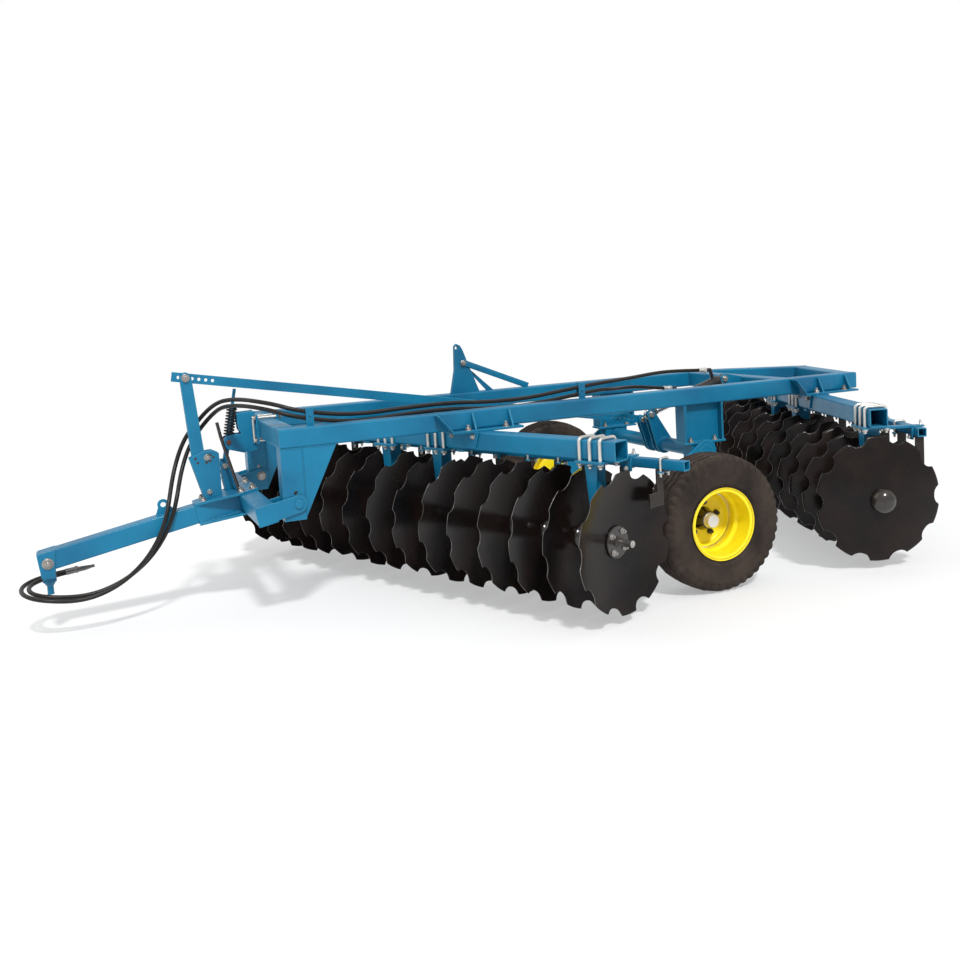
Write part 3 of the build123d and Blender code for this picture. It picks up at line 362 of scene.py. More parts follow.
# a nut's chamfer and a washer's edge as shares of height and radius; a bolt's parts as shares of its radius
nutShape = {"flat": 0.8, "top": 0.86}
washerShape = {"flat": 0.7, "top": 0.93, "sides": 22}
boltShape = {"washer": 2.15, "washerHigh": 0.4, "head": 1.75, "headHigh": 1.3, "endFrom": 1.6, "endTo": 1.7,
             "end": 0.95, "sides": 14}


def addNut(bm, spot, along, radius, high):
    # a six-sided nut or head with its chamfer
    spot, along = Vector(spot), Vector(along)
    flat = high * nutShape["flat"]
    addStep(bm, spot, along, 0, flat, radius, 6)
    addStep(bm, spot, along, flat, high, radius, 6, radius * nutShape["top"])


def addWasher(bm, spot, along, radius, high):
    spot, along = Vector(spot), Vector(along)
    flat, sides = high * washerShape["flat"], washerShape["sides"]
    addStep(bm, spot, along, 0, flat, radius, sides)
    addStep(bm, spot, along, flat, high, radius, sides, radius * washerShape["top"])


def addBolt(bm, spot, along, r, tail=0):
    # washer and head on a face, with the bolt's end standing out where it is a nut
    spot, along = Vector(spot), Vector(along)
    seat = r * boltShape["washerHigh"]
    addWasher(bm, spot, along, r * boltShape["washer"], seat)
    addNut(bm, spot + along * seat, along, r * boltShape["head"], r * boltShape["headHigh"])
    if tail > 0:
        addStep(bm, spot, along, r * boltShape["endFrom"], r * boltShape["endTo"] + tail,
                r * boltShape["end"], boltShape["sides"])


bendStep = 15


def bentRod(bm, start, heading, steps, radius, sides=14):
    # a ring of edges run on; a step is a length, or an axis, an angle and the bend's middle radius
    place, heading = Vector(start), Vector(heading)
    ring = ops.create_circle(bm, cap_ends=True, segments=sides, radius=radius,
                                   matrix=shifted(place) @ turnTo(heading))
    edges = edgesOf(ring["verts"])
    for step in steps:
        if isinstance(step, (int, float)):
            made = ops.extrude_edge_only(bm, edges=edges)["geom"]
            fresh = newVerts(made)
            ops.translate(bm, verts=fresh, vec=heading * step)
            edges = [e for e in newEdges(made) if all(v in fresh for v in e.verts)]
            place = place + heading * step
        else:
            axis, angle, bend = Vector(step[0]), radians(step[1]), step[2]
            centre = place + axis.cross(heading) * bend * (1 if angle > 0 else -1)
            geom = edges + list(dict.fromkeys(v for e in edges for v in e.verts))
            made = ops.spin(bm, geom=geom, cent=centre, axis=axis, angle=angle,
                                  steps=max(3, int(abs(step[1]) / bendStep)), use_duplicate=False)
            edges = newEdges(made["geom_last"])
            turn = Matrix.Rotation(angle, 4, axis)
            place = centre + turn @ (place - centre)
            heading = turn @ heading
    ops.edgeloop_fill(bm, edges=edges)


def spun(bm, points, steps=48):
    # a closed shape turned about X, from (along, radius) points
    verts = [bm.verts.new((x, 0, r)) for x, r in points]
    edges = [bm.edges.new(pair) for pair in zip(verts, verts[1:] + verts[:1])]
    ops.spin(bm, geom=verts + edges, cent=(0, 0, 0), axis=(1, 0, 0), angle=2 * pi, steps=steps,
                   use_merge=True)


def addCopy(bm, mesh, place):
    before = len(bm.verts)
    bm.from_mesh(mesh)
    bm.verts.ensure_lookup_table()
    ops.transform(bm, matrix=place, verts=bm.verts[before:])


# hoses: each on one smooth line, lowered by up to 40 mm between the clips as the photograph shows, with a
# coupling in steps of length, radius and sides, and flats over it
hoses = {
    "upper": {"node": "upper_hose", "radius": 11.5, "length": 5.5, "route": [
        (120, 2904, 1038), (127, 2722, 1050), (170, 2520, 1056), (262, 2290, 1048), (390, 2086, 1051),
        (476, 1925, 1052), (476, 1690, 1030), (482, 1450, 1004), (484, 1210, 1004), (484, 960, 1022),
        (480, 700, 1016), (477, 470, 1006), (476, 290, 1022), (476, 112, 1060), (440, 24, 1094),
        (362, -66, 1115), (265, -118, 1122), (160, -167, 1119), (60, -212, 1104), (-36, -258, 1062),
        (-70, -320, 994), (-70, -382, 924), (-66, -424, 848), (-42, -461, 756), (12, -489, 676),
        (72, -512, 600), (106, -537, 512), (116, -592, 388), (122, -688, 268), (126, -826, 176),
        (134, -985, 138), (142, -1172, 172), (46, -1268, 196), (-80, -1268, 216), (-182, -1170, 228),
        (-184, -1056, 238)],
        "coupling": ((46, 13.6, 24), (10, 11, 24), (10, 16, 24), (26, 9.5, 24)),
        "flats": {"start": 48, "long": 12, "r": 16.5}},
    "lower": {"node": "lower_hose", "radius": 11.5, "length": 5.12, "route": [
        (120, 2629, 939), (124, 2496, 957), (160, 2350, 976), (244, 2196, 987), (378, 2064, 998),
        (476, 1925, 1014), (476, 1690, 988), (475, 1450, 963), (477, 1210, 966), (476, 960, 988),
        (477, 700, 982), (476, 470, 966), (476, 290, 986), (476, 112, 1024), (446, 22, 1058),
        (372, -64, 1082), (275, -117, 1089), (170, -165, 1086), (70, -207, 1072), (-22, -246, 1028),
        (-66, -298, 966), (-72, -346, 902), (-67, -387, 832), (-40, -421, 752), (10, -447, 682),
        (66, -470, 612), (82, -500, 516), (87, -556, 398), (89, -655, 280), (92, -795, 190),
        (98, -962, 150), (108, -1154, 180), (32, -1232, 200), (-74, -1232, 214), (-152, -1154, 224),
        (-148, -1050, 238)],
        "coupling": ((44, 13.6, 24), (12, 11, 24), (48, 12.8, 24), (14, 11, 24), (26, 8.6, 24)),
        "flats": {"start": 46, "long": 9, "r": 16.5}},
}
hoseLine = {"order": 3, "steps": 8, "round": 5}


def makeCoupling(name, data):
    bm = bmesh.new()
    before, last = (Vector(point) for point in data["route"][-2:])
    along = (last - before).normalized()
    done = 0
    for long, r, sides in data["coupling"]:
        addStep(bm, last, along, done, done + long, r, sides)
        done += long
    flats = data["flats"]
    addStep(bm, last, along, flats["start"], flats["start"] + flats["long"], flats["r"], 6)
    return finishPiece(bm, name, "frame", "coupling", node="hose_couplings")


def makeHose(name, data):
    curve = bpy.data.curves.new(name, "CURVE")
    curve.dimensions = "3D"
    curve.bevel_depth = data["radius"] * mm
    curve.bevel_resolution = hoseLine["round"]
    curve.use_fill_caps = True
    line = curve.splines.new("NURBS")
    line.points.add(len(data["route"]) - 1)
    for point, corner in zip(line.points, data["route"]):
        point.co = (*(toScene @ Vector(corner)), 1)
    line.order_u = hoseLine["order"]
    line.use_endpoint_u = True
    line.resolution_u = hoseLine["steps"]
    piece = newObject(name, curve)
    curve.materials.append(finishes["hose_rubber"])
    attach(piece, "frame")
    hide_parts(data["node"])


couplings = [makeCoupling(hoseName + "Coupling", hose) for hoseName, hose in hoses.items()]
for (hoseName, hose), coupling in zip(hoses.items(), couplings):
    makeHose(hoseName + "Hose", hose)
print("hoses laid")

# discs: dished, with round-bottomed notches, and thinner at the ground rim
disc = {"radius": 355.5, "thick": 6, "rimThick": 2, "depth": 62, "flat": 62, "hole": 17.5,
        "notches": 10, "deep": 36, "half": 8.4, "power": 2.4, "root": 0.6, "start": 292,
        "rows": (100, 140, 180, 220, 256, 276, 292, 308, 320, 332, 343, 351),
        "steps": 200, "pitch": 228.6, "middle": 6.5, "count": 14, "stagger": 11, "sharp": 50}
# left half, then right half, by first and last disc
halves = {"left": (0, 6), "right": (7, 13)}


def discAlong(k):
    return (disc["middle"] - k) * disc["pitch"]


def dishAt(r):
    depth, flat = disc["depth"], disc["flat"]
    ball = (disc["radius"] ** 2 - flat ** 2 + depth ** 2) / (2 * depth)
    if r <= flat:
        return -depth
    return -depth - (sqrt(ball ** 2 - r ** 2 + flat ** 2) - ball)


def cutNotches(bm):
    # the outer rings are drawn in towards the notches' middles
    step, outer, low = 360 / disc["notches"], disc["radius"], disc["start"]
    for v in bm.verts:
        r = hypot(v.co.y, v.co.z)
        if r > low:
            angle = degrees(atan2(v.co.y, v.co.z)) % step - step / 2
            part = min(1, abs(angle) / disc["half"])
            edge = outer - disc["deep"] * (1 - part ** disc["power"]) ** disc["root"]
            fresh = low + (r - low) * (edge - low) / (outer - low)
            v.co.y *= fresh / r
            v.co.z *= fresh / r
            v.co.x = dishAt(fresh)


def discMesh():
    # a radial row spun round and notched, then given its thickness; material 1 is the ground rim
    bm = bmesh.new()
    radii = [disc["hole"], disc["flat"], *disc["rows"], disc["radius"]]
    verts = [bm.verts.new((dishAt(r), 0, r)) for r in radii]
    edges = [bm.edges.new(pair) for pair in zip(verts, verts[1:])]
    ops.spin(bm, geom=verts + edges, cent=(0, 0, 0), axis=(1, 0, 0), angle=2 * pi, steps=disc["steps"],
                   use_merge=True)
    cutNotches(bm)
    rim = {v for e in bm.edges if e.is_boundary for v in e.verts if hypot(v.co.y, v.co.z) > disc["flat"]}
    back = newVerts(ops.extrude_face_region(bm, geom=bm.faces[:])["geom"])
    ops.translate(bm, verts=back, vec=(-disc["thick"], 0, 0))
    backRim = [v for v in back if any(e.other_vert(v) in rim for e in v.link_edges)]
    ops.translate(bm, verts=backRim, vec=(disc["thick"] - disc["rimThick"], 0, 0))
    ground = set(backRim) | rim
    for face in bm.faces:
        face.material_index = 1 if all(v in ground for v in face.verts) else 0
    ops.recalc_face_normals(bm, faces=bm.faces[:])
    return meshFrom(bm, "disc")


def makeDiscs(name, gang, first, last, mesh):
    bm = bmesh.new()
    for k in range(first, last + 1):
        turn = Matrix.Rotation(radians(disc["stagger"] * k), 4, "X")
        if gang["bowl"] > 0:
            turn = Matrix.Rotation(pi, 4, "Z") @ turn
        addCopy(bm, mesh, shifted((discAlong(k), 0, disc["radius"])) @ turn)
    finishPiece(bm, name + "Discs", name + "_gang", "disc_black", gangPlace(gang), "disc_edge", disc["sharp"],
                name + "_discs")


oneDisc = discMesh()
for gangName, gang in gangs:
    for half, (first, last) in halves.items():
        makeDiscs(gangName + "_" + half, gang, first, last, oneDisc)
bpy.data.meshes.remove(oneDisc)
print("discs made")

# shafts: spools between the discs, with the end plates, nuts and stubs
spool = {"shaft": 17, "slack": 0.5, "over": 8, "flange": 58, "steps": 40,
         "half": ((0, 17), (0, 55), (2, 58), (9, 58), (13, 53), (30, 43.6), (35, 41.6))}
cover = {"radius": 82, "bore": 16, "thick": 13, "bevel": (3, 4), "nutCircle": 60, "nut": 13,
            "nutEnd": 8, "angles": (53, 143, 233, 323), "stub": 78, "hexagon": 29, "hexagonThick": 12,
            "steps": 48}
dome = {"radius": 70, "straight": 14, "high": 52, "least": 0.5, "nut": 16, "nutFrom": 64, "nutTo": 72}


def addSpool(bm, a, b):
    # flanges at both ends, with tapers to a waist
    half = spool["half"]
    spun(bm, [(a + x, r) for x, r in half] + [(b - x, r) for x, r in reversed(half)], spool["steps"])


def addDome(bm, end, way):
    least, straight = dome["least"], dome["straight"]
    points = [(end, least), (end, dome["radius"])]
    for angle in range(0, 91, 10):
        turn = radians(angle)
        points.append((end + way * (straight + dome["high"] * sin(turn)), dome["radius"] * cos(turn) + least))
    spun(bm, points)
    addRod(bm, (end + way * dome["nutFrom"], 0, 0), (end + way * dome["nutTo"], 0, 0), dome["nut"], 6)


def addEnd(bm, steel, end, way, outer):
    # a plate and a nut; at an outer end also the plate's bolts and the shaft's stub
    r = cover["radius"] if outer else spool["flange"]
    thick, bore = cover["thick"], cover["bore"]
    inset, drop = cover["bevel"]
    face = end + way * thick
    spun(bm, [(end, bore), (end, r - drop), (end + way * inset, r), (end + way * (thick - inset), r),
              (face, r - drop), (face, bore)], cover["steps"])
    addNut(bm, (face, 0, 0), (way, 0, 0), cover["hexagon"], cover["hexagonThick"])
    if outer:
        for angle in cover["angles"]:
            turn = radians(angle)
            spot = (face, cos(turn) * cover["nutCircle"], sin(turn) * cover["nutCircle"])
            addBolt(steel, spot, (way, 0, 0), cover["nut"] / boltShape["head"], cover["nutEnd"])
        tip = face + way * (cover["hexagonThick"] + cover["stub"])
        addRod(steel, (face, 0, 0), (tip, 0, 0), spool["shaft"] + 1)


def makeShaft(name, gang, first, last):
    place = gangPlace(gang) @ shifted((0, 0, disc["radius"]))
    hubs = []
    for k in range(first, last + 1):
        a = discAlong(k) + gang["bowl"] * disc["depth"]
        hubs.append(sorted((a, a + gang["bowl"] * disc["thick"])))
    hubs.sort()
    bm, steel = bmesh.new(), bmesh.new()
    for (_, a), (b, _) in zip(hubs, hubs[1:]):
        addSpool(bm, a, b)
    low, high = hubs[0][0], hubs[-1][1]
    over = spool["over"]
    addRod(steel, (low - over, 0, 0), (high + over, 0, 0), spool["shaft"] - spool["slack"], 20)
    for end, way in ((high, 1), (low, -1)):
        outer = (way > 0) == name.endswith("left")
        if outer and name.startswith("rear"):
            addDome(bm, end, way)
        else:
            addEnd(bm, steel, end, way, outer)
    finishPiece(bm, name + "Spools", name + "_gang", "shaft_black", place, node=name + "_shaft")
    finishPiece(steel, name + "ShaftSteel", name + "_gang", "steel", place)


for gangName, gang in gangs:
    for half, (first, last) in halves.items():
        makeShaft(gangName + "_" + half, gang, first, last)
print("shafts made")

# tyres: the wall runs from the bead to the tread as shares of the half width and heights over the rim,
# and the zigzag moves the tread sideways, turn by turn
wheels = {"left": (1250, 1), "right": (-775, -1)}
wheelAxle = {"y": 2158, "z": 321}
tyre = {"radius": 372, "half": 125, "rim": 196, "shoulder": 0.83, "treadEdge": 0.7,
        "wall": ((0.66, -14), (0.78, -15), (0.84, -8), (0.86, 8), (0.93, 18), (0.955, 26), (0.945, 30),
                 (0.985, 58), (1, 88), (0.995, 104), (1, 108), (0.985, 120), (0.965, 132), (0.95, 144),
                 (0.9, 156)),
        "inside": ((0.55, 30), (0.8, 90)), "crownInside": (0.6, 34),
        "crownDrop": 9, "crownHalf": 96, "crownPower": 2.6,
        "grooves": (-64, -22, 22, 64), "groove": 6.5, "slope": 2.5, "deep": 13,
        "zigzag": 8, "zigzagSteps": (0, 1, 0.6, -0.2, -1, -0.5), "zigzagHalf": 80, "zigzagDeep": 28,
        "notchFrom": 98, "notchTo": 121, "notchOver": 128, "notchEvery": 3,
        "notchAcross": 0.945, "notchInward": 0.982, "steps": 132, "merge": 0.01, "sharp": 38}


def crown(x):
    return tyre["radius"] - tyre["crownDrop"] * (abs(x) / tyre["crownHalf"]) ** tyre["crownPower"]


def tyreProfile():
    w, top, rim, g, slope = tyre["half"], tyre["radius"], tyre["rim"], tyre["groove"], tyre["slope"]
    wall = [(w * share, rim + high) for share, high in tyre["wall"]]
    wall.append((w * tyre["shoulder"], crown(w * tyre["shoulder"])))
    edge = w * tyre["treadEdge"]
    tread = [(edge, crown(edge))]
    for middle in reversed(tyre["grooves"]):
        tread += [(middle + g + slope, crown(middle)), (middle + g, crown(middle) - tyre["deep"]),
                  (middle - g, crown(middle) - tyre["deep"]), (middle - g - slope, crown(middle))]
    tread.append((-edge, crown(edge)))
    inner = [(w * share, rim + high) for share, high in tyre["inside"]]
    inner.append((w * tyre["crownInside"][0], top - tyre["crownInside"][1]))
    inside = [(-x, r) for x, r in inner] + inner[::-1]
    return wall + tread + [(-x, r) for x, r in reversed(wall)] + inside


def wheelPlace(side):
    return shifted((wheels[side][0], wheelAxle["y"], wheelAxle["z"]))


def makeTyre(side):
    bm = bmesh.new()
    spun(bm, tyreProfile(), tyre["steps"])
    ops.remove_doubles(bm, verts=bm.verts[:], dist=tyre["merge"])
    for v in bm.verts:
        r = hypot(v.co.y, v.co.z)
        turn = round(degrees(atan2(v.co.y, v.co.z)) / 360 * tyre["steps"])
        if abs(v.co.x) < tyre["zigzagHalf"] and r > tyre["radius"] - tyre["zigzagDeep"]:
            v.co.x += tyre["zigzag"] * tyre["zigzagSteps"][turn % len(tyre["zigzagSteps"])]
        shoulder = tyre["notchFrom"] < abs(v.co.x) < tyre["notchTo"] and r > tyre["rim"] + tyre["notchOver"]
        if shoulder and turn % tyre["notchEvery"] == 0:
            v.co.x *= tyre["notchAcross"]
            v.co.y *= tyre["notchInward"]
            v.co.z *= tyre["notchInward"]
    finishPiece(bm, side + "Tyre", side + "_wheel", "tyre_rubber", wheelPlace(side), sharp=tyre["sharp"],
                node=side + "_tyre")


# rims: profiles as shares of the half width, with the barrel's heights over the rim's radius and the
# dish's radii; the hub's profiles run outwards from its back face
rim = {"radius": 196, "half": 125, "steps": 96,
       "barrel": ((-0.86, -4), (-0.9, 0), (-0.925, -4), (-0.9, -8), (-0.86, -23), (-0.6, -27),
                  (-0.45, -39), (-0.1, -41), (0.05, -27), (0.7, -24), (0.85, -22), (0.875, -6),
                  (0.895, -4.5), (0.925, -1), (0.912, 1.5), (0.885, -1.5), (0.84, -17), (0.05, -21),
                  (-0.1, -35), (-0.45, -33), (-0.6, -21), (-0.84, -17)),
       "dish": ((-0.54, 157), (-0.62, 155), (-0.74, 146), (-0.8, 132), (-0.8, 52), (-0.75, 52),
                (-0.75, 130), (-0.69, 142), (-0.57, 149)),
       "lug": {"x": (-0.52, -0.3), "half": 17, "r": (149, 159), "edge": 3}}
hub = {"back": 6, "steps": 48, "capSteps": 12,
       "barrel": ((0, 24), (0, 64), (40, 64), (46, 60), (58, 56), (80, 52), (96, 50), (100, 46), (100, 24)),
       "cap": ((98, 0.5), (98, 43), (106, 43), (109, 40), (130, 39), (138, 35), (140, 26), (140, 0.5))}
wheelNut = {"circle": 91, "count": 5, "turn": 12, "x": -0.75, "seat": 17, "seatHigh": 6, "from": 5,
            "radius": 15.5, "high": 17, "stud": 8, "studLong": 31}
valve = {"x": -0.4, "r": 153, "foot": (10, 0, -6), "footRadius": 8, "stem": (8, 0, -5),
         "tip": (44, 0, -14), "radius": 4.2}


def makeRim(side):
    w, place = rim["half"], wheelPlace(side)
    if wheels[side][1] < 0:
        place = place @ Matrix.Rotation(pi, 4, "Z")
    bm = bmesh.new()
    spun(bm, [(w * share, rim["radius"] + high) for share, high in rim["barrel"]], rim["steps"])
    spun(bm, [(w * share, r) for share, r in rim["dish"]], rim["steps"])
    lug = rim["lug"]
    addPlate(bm, (w * lug["x"][0], -lug["half"], lug["r"][0]), (w * lug["x"][1], lug["half"], lug["r"][1]),
             lug["edge"])
    finishPiece(bm, side + "Rim", side + "_wheel", "rim_yellow", place, node=side + "_rim")
    back, outward = -w + hub["back"], Vector((1, 0, 0))
    bm = bmesh.new()
    spun(bm, [(back + x, r) for x, r in hub["barrel"]], hub["steps"])
    for k in range(wheelNut["count"]):
        angle = radians(k * 360 / wheelNut["count"] + wheelNut["turn"])
        circle = wheelNut["circle"]
        spot = Vector((w * wheelNut["x"], cos(angle) * circle, sin(angle) * circle))
        addStep(bm, spot, outward, 0, wheelNut["seatHigh"], wheelNut["seat"], 20)
        addNut(bm, spot + outward * wheelNut["from"], outward, wheelNut["radius"], wheelNut["high"])
        addStep(bm, spot, outward, 0, wheelNut["studLong"], wheelNut["stud"], 12)
    finishPiece(bm, side + "Hub", side + "_wheel", "shaft_black", place)
    bm = bmesh.new()
    spun(bm, [(back + x, r) for x, r in hub["cap"]], hub["capSteps"])
    spot = Vector((w * valve["x"], 0, valve["r"]))
    addRod(bm, spot, spot + Vector(valve["foot"]), valve["footRadius"], 16)
    addRod(bm, spot + Vector(valve["stem"]), spot + Vector(valve["tip"]), valve["radius"], 14)
    finishPiece(bm, side + "HubCap", side + "_wheel", "zinc", place)


for side in wheels:
    makeTyre(side)
    makeRim(side)
print("wheels made")

# clamps: U-bolts in threes over the gang beams, down through the hangers' plates
clamp = {"rod": 9, "bend": 21, "offsets": (-66, 0, 66), "shift": 40, "below": 26,
         "washer": 2.1, "washerHigh": 4, "gap": 1, "over": 0.5}
hangerGaps = (6, 1, -1, -6)
quarter = ((1, 0, 0), -90)


def hangerAlong(gang, gap):
    return gap * disc["pitch"] + gang["bowl"] * clamp["shift"]


def addClamp(bm, s):
    rod, bend, low, below = clamp["rod"], clamp["bend"], beam["padLow"], clamp["below"]
    out = beam["half"] + rod + clamp["gap"]
    rise = beam["top"] + rod + clamp["over"] - low - bend
    corner = (*quarter, bend)
    bentRod(bm, (s, -out, low - below), (0, 0, 1),
            [rise + below, corner, 2 * (out - bend), corner, rise + below], rod)
    for side in (-1, 1):
        addWasher(bm, (s, side * out, low), (0, 0, -1), rod * clamp["washer"], clamp["washerHigh"])
        addNut(bm, (s, side * out, low - clamp["washerHigh"]), (0, 0, -1), rod * boltShape["head"],
               rod * boltShape["headHigh"])


def makeClamps():
    for name, gang in gangs:
        bm = bmesh.new()
        for gap in hangerGaps:
            for offset in clamp["offsets"]:
                addClamp(bm, hangerAlong(gang, gap) + offset)
        finishPiece(bm, name + "Clamps", "frame", "zinc", gangPlace(gang))


makeClamps()

# bolts: spot, the way that they face, radius and the length of the end
springBracket = {"xs": (-130, -14), "zs": (863, 989), "faces": ((-12, -1), (114, 1))}
boxBracket = [((side * tube["side"] + dx, y, 646), (0, 0, 1), 9, 12)
              for side in (-1, 1) for dx in (-32, 32) for y in (2480, 2655)]
springBracketBolts = [((x, y, z), (0, way, 0), 8, 6) for x in springBracket["xs"]
                      for z in springBracket["zs"] for y, way in springBracket["faces"]]
mastBolts = [((x, 1442, 1174), (way, 0, 0), 9, 4) for x, way in ((-567, -1), (-525, 1))]
clipBolts = [((457.7, *spot), (-1, 0, 0), 4.5, 3) for spot in ((187, 1026.5), (1795, 1024.5))]
anchorPins = [((120 + way * 26, 3050, 970), (way, 0, 0), 10, 0) for way in (-1, 1)]
leverPins = [((x + way * dx, y, z), (way, 0, 0), r, 0)
             for x, dx, y, z, r in ((0, 22, 2478, 740, 9), (120, 26, 2470, 785, 10)) for way in (-1, 1)]
hingePins = [((side * (tube["side"] - 68), 0, 0), (-side, 0, 0), 13, 0) for side in (-1, 1)]
hitchBolts = [((way * 61, *hitchSpot), (way, 0, 0), 11, 6) for way in (-1, 1)]
topPlateBolts = [((x, y, 57), (0, 0, 1), 10, 12) for x in (-122, 122) for y in (-205, -142)]
topPlateBolts += [((x, -402, 57), (0, 0, 1), 8, 8) for x in (-52, 52)]
postBolts = [((way * 34, y, z), (way, 0, 0), r, 5) for way in (-1, 1)
             for y, z, r in ((-293, 803, 8.5), (-295, 611, 7))]
postBolts += [((way * 22, -370, 1245), (way, 0, 0), 10.5, 2) for way in (-1, 1)]
clevisBolts = [((-72 + way * 30, -192, 734), (way, 0, 0), 8, 0) for way in (-1, 1)]
hitchWasher = {"r": 29, "high": 4}
# bolts that follow the gangs: the carriers' on the frame, the hangers' feet, and the saddles' on the beams
carrierBolt = {"x": 632, "shift": 60, "offsets": (-103, 121), "r": 9.5, "tail": 14}
footBolt = {"s": 24, "t": 64, "z": 435.5, "r": 8, "end": 6}
saddleBolt = {"s": 84, "z": 838, "t": 61, "r": 7, "end": 5}
saddleSides = {"front": (tube["side"], -tube["side"]), "rear": (tube["side"], -354)}
# black discs on both faces of the drawbar's plates where the holes are: painted shade standing in for the
# holes
fanHoleShades = {"r": 7, "x": 34, "deep": 2, "out": 0.5, "sides": 20,
            "spots": ((-356, 802), (-345, 778), (-275, 816), (-262, 801), (-278, 782), (-300, 774))}
bracketRod = {"y": (-28, 130), "r": 8.5, "sides": 20}
bracketUpright = {"y": -26, "z": (852, 1000), "r": 6.5}


def boltPiece(name, body, rows, place=None):
    bm = bmesh.new()
    for row in rows:
        addBolt(bm, *row)
    finishPiece(bm, name, body, "nut", place)


def carrierBolts():
    bolt = carrierBolt
    return [((side * bolt["x"], gangY(gang, side * tube["side"]) + bolt["shift"] + offset, tube["low"]),
             (0, 0, 1), bolt["r"], bolt["tail"])
            for gang, side in ((frontGang, 1), (frontGang, -1), (rearGang, 1)) for offset in bolt["offsets"]]


def hangerBolts(name, gang):
    bolt = footBolt
    rows = [((hangerAlong(gang, gap) + ds, dt, bolt["z"]), (0, 0, 1), bolt["r"], bolt["end"])
            for gap in hangerGaps for ds in (-bolt["s"], bolt["s"]) for dt in (-bolt["t"], bolt["t"])]
    bolt = saddleBolt
    for x in saddleSides[name]:
        s = (x - gang["x"]) / cos(radians(gang["turn"]))
        rows += [((s + ds, way * bolt["t"], bolt["z"]), (0, way, 0), bolt["r"], bolt["end"])
                 for ds in (-bolt["s"], bolt["s"]) for way in (-1, 1)]
    return rows


def makeDrawbarBolts():
    bm = bmesh.new()
    for row in topPlateBolts + hingePins + hitchBolts:
        addBolt(bm, *row)
    for spot, along, *_ in hitchBolts:
        addWasher(bm, spot, along, hitchWasher["r"], hitchWasher["high"])
    bm.transform(drawbarPlace)
    for row in postBolts + clevisBolts:
        addBolt(bm, *row)
    finishPiece(bm, "drawbarBolts", "drawbar", "nut")


# thin black discs, painted shade of the holes, sunk a little into each plate face
def makeFanHoleShades():
    bm = bmesh.new()
    for spot in fanHoleShades["spots"]:
        for way in (-1, 1):
            x = way * fanHoleShades["x"]
            addRod(bm, (x - way * fanHoleShades["deep"], *spot), (x + way * fanHoleShades["out"], *spot), fanHoleShades["r"],
                   fanHoleShades["sides"])
    finishPiece(bm, "fanHoleShades", "drawbar", "shaft_black")


def makeBracketRods():
    bm = bmesh.new()
    front, rear = bracketRod["y"]
    y, (low, high) = bracketUpright["y"], bracketUpright["z"]
    for x in springBracket["xs"]:
        for z in springBracket["zs"]:
            addRod(bm, (x, front, z), (x, rear, z), bracketRod["r"], bracketRod["sides"])
        addRod(bm, (x, y, low), (x, y, high), bracketUpright["r"], bracketRod["sides"])
    finishPiece(bm, "bracketRods", "frame", "zinc")


boltPiece("frameBolts", "frame",
          boxBracket + springBracketBolts + mastBolts + clipBolts + anchorPins + carrierBolts())
boltPiece("rockshaftBolts", "rockshaft", leverPins)
for gangName, gang in gangs:
    boltPiece(gangName + "HangerBolts", "frame", hangerBolts(gangName, gang), gangPlace(gang))
makeDrawbarBolts()
makeFanHoleShades()
makeBracketRods()

# scraper bars: square tubes on arms from the gang beams, each arm held by an L-bolt under the tube, and a
# U-bolt with its plate for each scraper
bar = {"t": 262, "z": 712, "half": 25, "wall": 5, "round": 5, "hollow": 400}
barEnds = {"front": (-1500, 1680), "rear": (-1560, 1490)}
barArms = {"front": (1331.6, 380, -470, -1200), "rear": (1411.6, 470, -380, -1150)}
arm = {"half": 27, "thick": 14, "upright": 12, "drop": 46, "cap": 9, "reach": 14, "edge": 1.5,
       "boltOut": 2, "bolt": 7, "boltEnd": 16}
armHook = {"rod": 6.5, "bend": 13, "out": 16, "tip": 22, "sides": 12, "washer": 13, "washerHigh": 3,
           "nut": 11.5, "nutHigh": 9}
grip = {"rod": 6.5, "bend": 13, "offset": 56, "below": 36, "clear": 45, "sides": 10,
                "plateHalf": 15, "plateOut": 19, "plateFrom": 15, "plateTo": 8.3, "edge": 1,
                "nut": 11, "nutHigh": 9}


def addScraperTube(bm, low, high):
    # a cube with rounded long edges and its ends hollowed
    t, z, half = bar["t"], bar["z"], bar["half"]
    addBox(bm, shifted(((low + high) / 2, t, z)), (high - low, 2 * half, 2 * half))
    long = [e for e in bm.edges if abs(e.verts[0].co.x - e.verts[1].co.x) > (high - low) / 2]
    ops.bevel(bm, geom=long, offset=bar["round"], segments=3, **plateBevel)
    ends = [f for f in bm.faces if abs(f.normal.x) > 0.9]
    ops.inset_region(bm, faces=ends, thickness=bar["wall"])
    for face in ends:
        deep = newVerts(ops.extrude_face_region(bm, geom=[face])["geom"])
        way = 1 if face.calc_center_median().x < (low + high) / 2 else -1
        ops.translate(bm, verts=deep, vec=(way * bar["hollow"], 0, 0))
    ops.delete(bm, geom=ends, context="FACES_ONLY")


